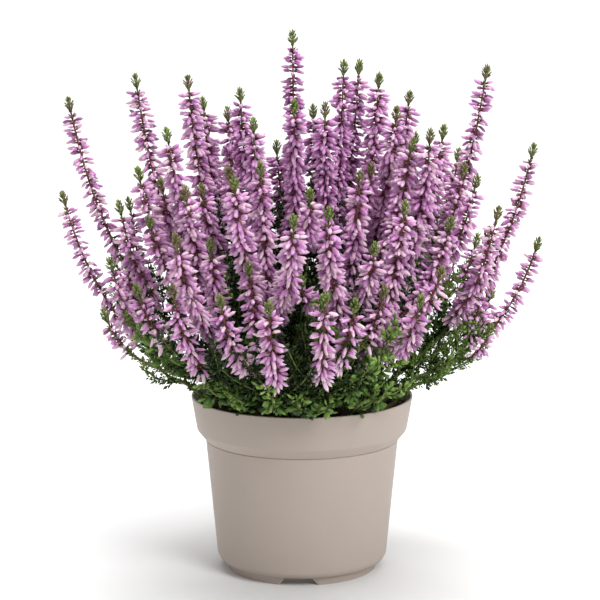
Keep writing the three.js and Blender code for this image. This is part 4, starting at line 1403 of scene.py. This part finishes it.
TUBE_STEP = 3.0
TUBE_SIDES = 6
ROOT_STALK_RADIUS = 1.25
FLOWER_STALK_RADIUS = 0.55 * 1.15
NECK_STALK_RADIUS = 0.44 * 1.15
TIP_STALK_RADIUS = 0.44
STALK_SHORT_OF_TIP = 1.2


def stalk(line, start, end, radii, marks):
    """Tube on a stretch of a line, its radius and colour mark blended from foot to end."""
    count = max(3, round((end - start) / TUBE_STEP))
    share = np.linspace(0, 1, count)
    radius, mark = (np.interp(share, *np.array(steps).T) for steps in (radii, marks))
    return tube(line.even(start, end, count), radius, TUBE_SIDES, mark)


BARE_LENGTH = 9.0
SCALES_BELOW_NECK = 4.5
SCALES_BELOW_FLOWERS = 6.0
SCALES_AMONG_FLOWERS = 14.0
SPIKE_TWIG_REACH = LEAF_REACH * 1.25
SPRIG_TWIG_REACH = LEAF_REACH * 1.4
STEM_TWIG_REACH = LEAF_REACH * 1.15
TWIGS_SHORT_OF_TIP = 2.5
STALK_SHARE = 0.75
# Radii and colour marks of the stalks of side shoots and of sprigs, from the foot (0) to the tip (1).
SHOOT_STALK = [[(0, 0.7), (1, 0.3)], [(0, 0.2), (1, 0.34)]]
SPRIG_STALK = [[(0, 0.6), (1, 0.3)], [(0, 0.22), (1, 0.34)]]


def spike(branch, start, foot_radius, rng):
    """One spike's buds, stalk with bracts, green tip, and leaves, as four shapes."""
    line = branch.line
    length = line.length
    flower_start = branch.spans[-2][0] * length
    tip_start = length - GREEN_TIP
    bare = np.clip((flower_start - start) / (length - start), 0.02, 0.9)
    top = (tip_start - start) / (length - start)
    radii = [
        (0, foot_radius),
        (bare, FLOWER_STALK_RADIUS),
        (top, NECK_STALK_RADIUS),
        (1, TIP_STALK_RADIUS),
    ]
    marks = [(0, 0.3), (bare, 0.6), (min(bare + 0.1, top - 0.01), 0.75), (top, 0.92), (1, 1.0)]
    bark = stalk(line, start, length - STALK_SHORT_OF_TIP, radii, marks)
    petals, pegs = buds(line, flower_start, tip_start - NECK * 0.6, rng)
    lowest = max(start, flower_start - SCALES_BELOW_FLOWERS)
    leaves = [
        stalk_leaves(line, lowest, flower_start + SCALES_AMONG_FLOWERS, foot_radius, rng),
        stalk_leaves(line, tip_start - SCALES_BELOW_NECK, tip_start + 1, TIP_STALK_RADIUS, rng),
    ]
    if flower_start - start > BARE_LENGTH:
        kind = OUTER_TWIG if abs(line.tip[0]) > OUTER_FROM else FINE_TWIG
        leaves.append(twigs(line, start + 3, flower_start + 2, SPIKE_TWIG_REACH, rng, kind))
    return petals, joined([bark, pegs]), green_crown(line, rng), joined(leaves)


# Leafy sprigs that fill the bush below the flowers and between the spikes: each is a place on the
# stem, a length, and its turn off the way in towards the middle of the bush.
LOW_SPRIGS = [[0.13, 38.0, 1.7], [0.17, 40.0, -1.6], [0.23, 42.0, 0.9]]
INNER_SPRIGS = [
    [0.28, 48.0, -1.0],
    [0.33, 46.0, 0.2],
    [0.38, 38.0, 1.5],
    [0.43, 28.0, -1.3],
    [0.47, 28.0, 0.6],
]
SPRIG_SPREAD = math.radians(28)
FAR_OUT = 100.0
FAR_OUT_SHARE = 0.5
FAR_OUT_TURN = 0.35
# Shares of painted light on the leaves of low and inner sprigs: the rest is painted shade
LOW_LIGHT = 0.2
INNER_LIGHT = 0.15


def sprigs(line, places, kind, light, rng):
    """Extra leafy sprigs on a stem, as lists of stalks and leaves, in the shade of the rest.

    On a stem that ends far out to the side they are shorter and all grow inwards.
    """
    barks, leaves = [], []
    for place, length, off in places:
        if abs(line.tip[0]) > FAR_OUT:
            length *= FAR_OUT_SHARE
            off *= FAR_OUT_TURN
        x, y, _ = line.at(place)[0]
        sprig = shoot_curve(line, place, length, SPRIG_SPREAD, math.atan2(-y, -x) + off)
        barks.append(stalk(sprig, 0.0, sprig.length - 1, *SPRIG_STALK))
        last = sprig.length - TWIGS_SHORT_OF_TIP
        leaves.append(twigs(sprig, 3.0, last, SPRIG_TWIG_REACH, rng, kind, light))
    return barks, leaves


# ---- Pieces --------------------------------------------------------------------------------------

SPRAY_SEED = 100
STEM_SEED = 200
FIRST_STEM_TWIG = 8.0
SHARP_EDGE = math.radians(40)

POT_PLASTIC = pot_plastic()
PEAT_CRUMB = peat_crumb()
LEAF_SCALE = leaf_scale()
CROWN_GREEN = crown_leaf()
STALK_BARK = stalk_bark()
BUD_PETAL = bud_petal()


def settle_piece(piece, node):
    """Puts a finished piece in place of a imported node."""
    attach(piece, "root")
    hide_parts(node)


def make_pot():
    """The pot, its walls, lip, foot ring and drainage holes."""
    pot = fill_mesh("pot_shell", [(pot_shape(), POT_PLASTIC)])
    drill_drains(pot)
    pot.data.set_sharp_from_angle(angle=SHARP_EDGE)
    settle_piece(pot, "pot")


def make_peat():
    """The peat and the loose bits on it."""
    peat = fill_mesh("peat_fill", [(joined([peat_shape(), peat_bits()]), PEAT_CRUMB)])
    settle_piece(peat, "peat")


def make_spray(branches, number):
    """One flower spray: its stem's flowering end, its side spikes and the leafy sprigs between them."""
    rng = np.random.default_rng(SPRAY_SEED + number)
    main, *others = branches
    spikes = [spike(main, SPRAY_START * main.line.length, STEM_RADIUS * STALK_SHARE, rng)]
    for side in others:
        if side.kind == "spike":
            spikes.append(spike(side, 0.0, SIDE_RADIUS * STALK_SHARE, rng))
    petals, bark, crowns, leaves = (joined(list(parts)) for parts in zip(*spikes))
    sprig_barks, sprig_leaves = sprigs(main.line, INNER_SPRIGS, COARSE_TWIG, INNER_LIGHT, rng)
    dressed = [
        (petals, BUD_PETAL),
        (joined([bark, *sprig_barks]), STALK_BARK),
        (crowns, CROWN_GREEN),
        (joined([leaves, *sprig_leaves]), LEAF_SCALE),
    ]
    piece = fill_mesh(f"spray_{number:02d}", dressed)
    settle_piece(piece, f"flower_spray_{number:02d}")


def rooted_points(line, end):
    """Centre line of a stem from its buried end to a distance up it; the root leans half as much."""
    into_peat = unit(line.heading(0.0)[0] + UP)
    buried = line.at(0.0)[0] + into_peat * np.array([[-ROOT_DEPTH], [ROOT_RISE * 0.2]])
    return np.vstack([buried, line.even(ROOT_RISE, end, max(3, round(end / TUBE_STEP)))])


def make_leafy_stem(branches, number, has_spray, seed):
    """A leafy stem from its root to its spray or tip, with its leafy side shoots."""
    rng = np.random.default_rng(seed)
    main, *others = branches
    line = main.line
    end = SPRAY_START * line.length if has_spray else line.length
    points = rooted_points(line, end)
    share = np.linspace(0, 1, len(points))
    last_radius = STEM_RADIUS * STALK_SHARE if has_spray else TIP_STALK_RADIUS
    radii = ROOT_STALK_RADIUS + (last_radius - ROOT_STALK_RADIUS) * share
    barks = [tube(points, radii, TUBE_SIDES, 0.3 * share)]
    kind = twig_kind(line.tip, FINE_TWIG)
    leaves = [twigs(line, FIRST_STEM_TWIG, end - 1.5, STEM_TWIG_REACH, rng, kind)]
    for shoot in (branch.line for branch in others if branch.kind == "shoot"):
        barks.append(stalk(shoot, 0.0, shoot.length - 1, *SHOOT_STALK))
        last = shoot.length - TWIGS_SHORT_OF_TIP
        leaves.append(twigs(shoot, 2.0, last, SHOOT_LEAF_REACH, rng, kind))
    if has_spray:
        low_kind = twig_kind(line.tip, COARSE_TWIG)
        sprig_barks, sprig_leaves = sprigs(line, LOW_SPRIGS, low_kind, LOW_LIGHT, rng)
        barks += sprig_barks
        leaves += sprig_leaves
    name, node = ("leafy", "leafy_stem") if has_spray else ("shoot", "leafy_shoot")
    dressed = [(joined(leaves), LEAF_SCALE), (joined(barks), STALK_BARK)]
    piece = fill_mesh(f"{name}_{number:02d}", dressed)
    settle_piece(piece, f"{node}_{number:02d}")


# ---- Stage, lights and camera --------------------------------------------------------------------

SWEEP_HALF_WIDTH = 4.0
SWEEP_FRONT = -3.0
SWEEP_BACK = 2.6
SWEEP_BEND = 0.8
SWEEP_BEND_ROWS = 17
SWEEP_TOP = 3.5
IMAGE_SIDE = 600
SENSOR_WIDTH = 36.0
LENS = 113.0
CAMERA_DISTANCE = 1.0
CAMERA_HEIGHT = 0.3098
CAMERA_PITCH = 0.162
MIDDLE_OFFSET = 2
NEAREST_SEEN = 0.05
SURROUND_STRENGTH = 0.3
# Each softbox: name, place, the point that it faces, width, and power in watts. The very weak one
# under the pot softens the shadow seen through the notches.
SOFTBOXES = [
    ("key", (1.1, -1.5, 1.5), (0, 0, 0.15), 0.9, 32),
    ("fill", (-1.7, -0.3, 0.8), (0, 0, 0.15), 1.2, 3),
    ("top", (0.1, -0.1, 1.9), (0, 0, 0.1), 1.2, 22),
    ("backdrop", (0.0, 0.9, 2.6), (0, 3.4, 0.9), 2.0, 100),
    ("under", (0, 0, 0.0028), (0, 0, 0), 0.052, 0.0045),
]


def make_sweep():
    """Pale floor that bends up into a backdrop: flat, a quarter circle, then upright."""
    angle = np.linspace(0, np.pi / 2, SWEEP_BEND_ROWS)
    bend_y = SWEEP_BACK + SWEEP_BEND * np.sin(angle)
    bend_z = SWEEP_BEND * (1 - np.cos(angle))
    y = np.concatenate([[SWEEP_FRONT], bend_y, [SWEEP_BACK + SWEEP_BEND]])
    z = np.concatenate([[0.0], bend_z, [SWEEP_TOP]])
    left = np.stack([np.full(len(y), -SWEEP_HALF_WIDTH), y, z], axis=-1)
    points = np.vstack([left, left * [-1, 1, 1]])
    low = np.arange(len(y) - 1)
    faces = np.stack([low, low + len(y), low + len(y) + 1, low + 1], axis=-1)
    mesh = bpy.data.meshes.new("sweep")
    mesh.from_pydata(points.tolist(), [], faces.tolist())
    mesh.materials.append(sweep_white())
    mesh.shade_smooth()
    sweep = added("sweep", mesh)


def softbox(name, place, aim, size, power):
    """Square area light at a place, facing a point."""
    light = bpy.data.lights.new(name, "AREA")
    light.shape = "SQUARE"
    light.size = size
    light.energy = power
    lamp = added(name, light)
    lamp.location = place
    direction = np.array(aim) - np.array(place)
    tilt = math.acos(-direction[2] / np.linalg.norm(direction))
    swing = math.atan2(direction[0], -direction[1]) + math.pi
    lamp.rotation_euler = (tilt, 0.0, swing)


def light_stage():
    """Even white surroundings, a large key from the front right, a fill and a top light."""
    world = bpy.data.worlds.new("studio")
    world.use_nodes = True
    surround = world.node_tree.nodes["Background"]
    surround.inputs["Color"].default_value = (1, 1, 1, 1)
    surround.inputs["Strength"].default_value = SURROUND_STRENGTH
    bpy.context.scene.world = world
    for box in SOFTBOXES:
        softbox(*box)


def make_camera():
    """Camera in front and a little above, with the pot's axis two pixels right of the middle."""
    data = bpy.data.cameras.new("camera")
    data.sensor_width = SENSOR_WIDTH
    data.lens = LENS
    data.shift_x = -MIDDLE_OFFSET / IMAGE_SIDE
    data.clip_start = NEAREST_SEEN
    camera = added("camera", data)
    camera.location = (0, -CAMERA_DISTANCE, CAMERA_HEIGHT)
    camera.rotation_euler = (math.pi / 2 - CAMERA_PITCH, 0, 0)
    bpy.context.scene.camera = camera


# ---- The object ----------------------------------------------------------------------------------

bpy.context.scene.view_settings.view_transform = "Standard"
make_camera()
make_sweep()
light_stage()
make_pot()
make_peat()
all_plants, spray_count = lay_out()
for index, plant_branches in enumerate(all_plants):
    has_spray = index < spray_count
    number = index + 1 if has_spray else index + 1 - spray_count
    if has_spray:
        make_spray(plant_branches, number)
    make_leafy_stem(plant_branches, number, has_spray, STEM_SEED + index)
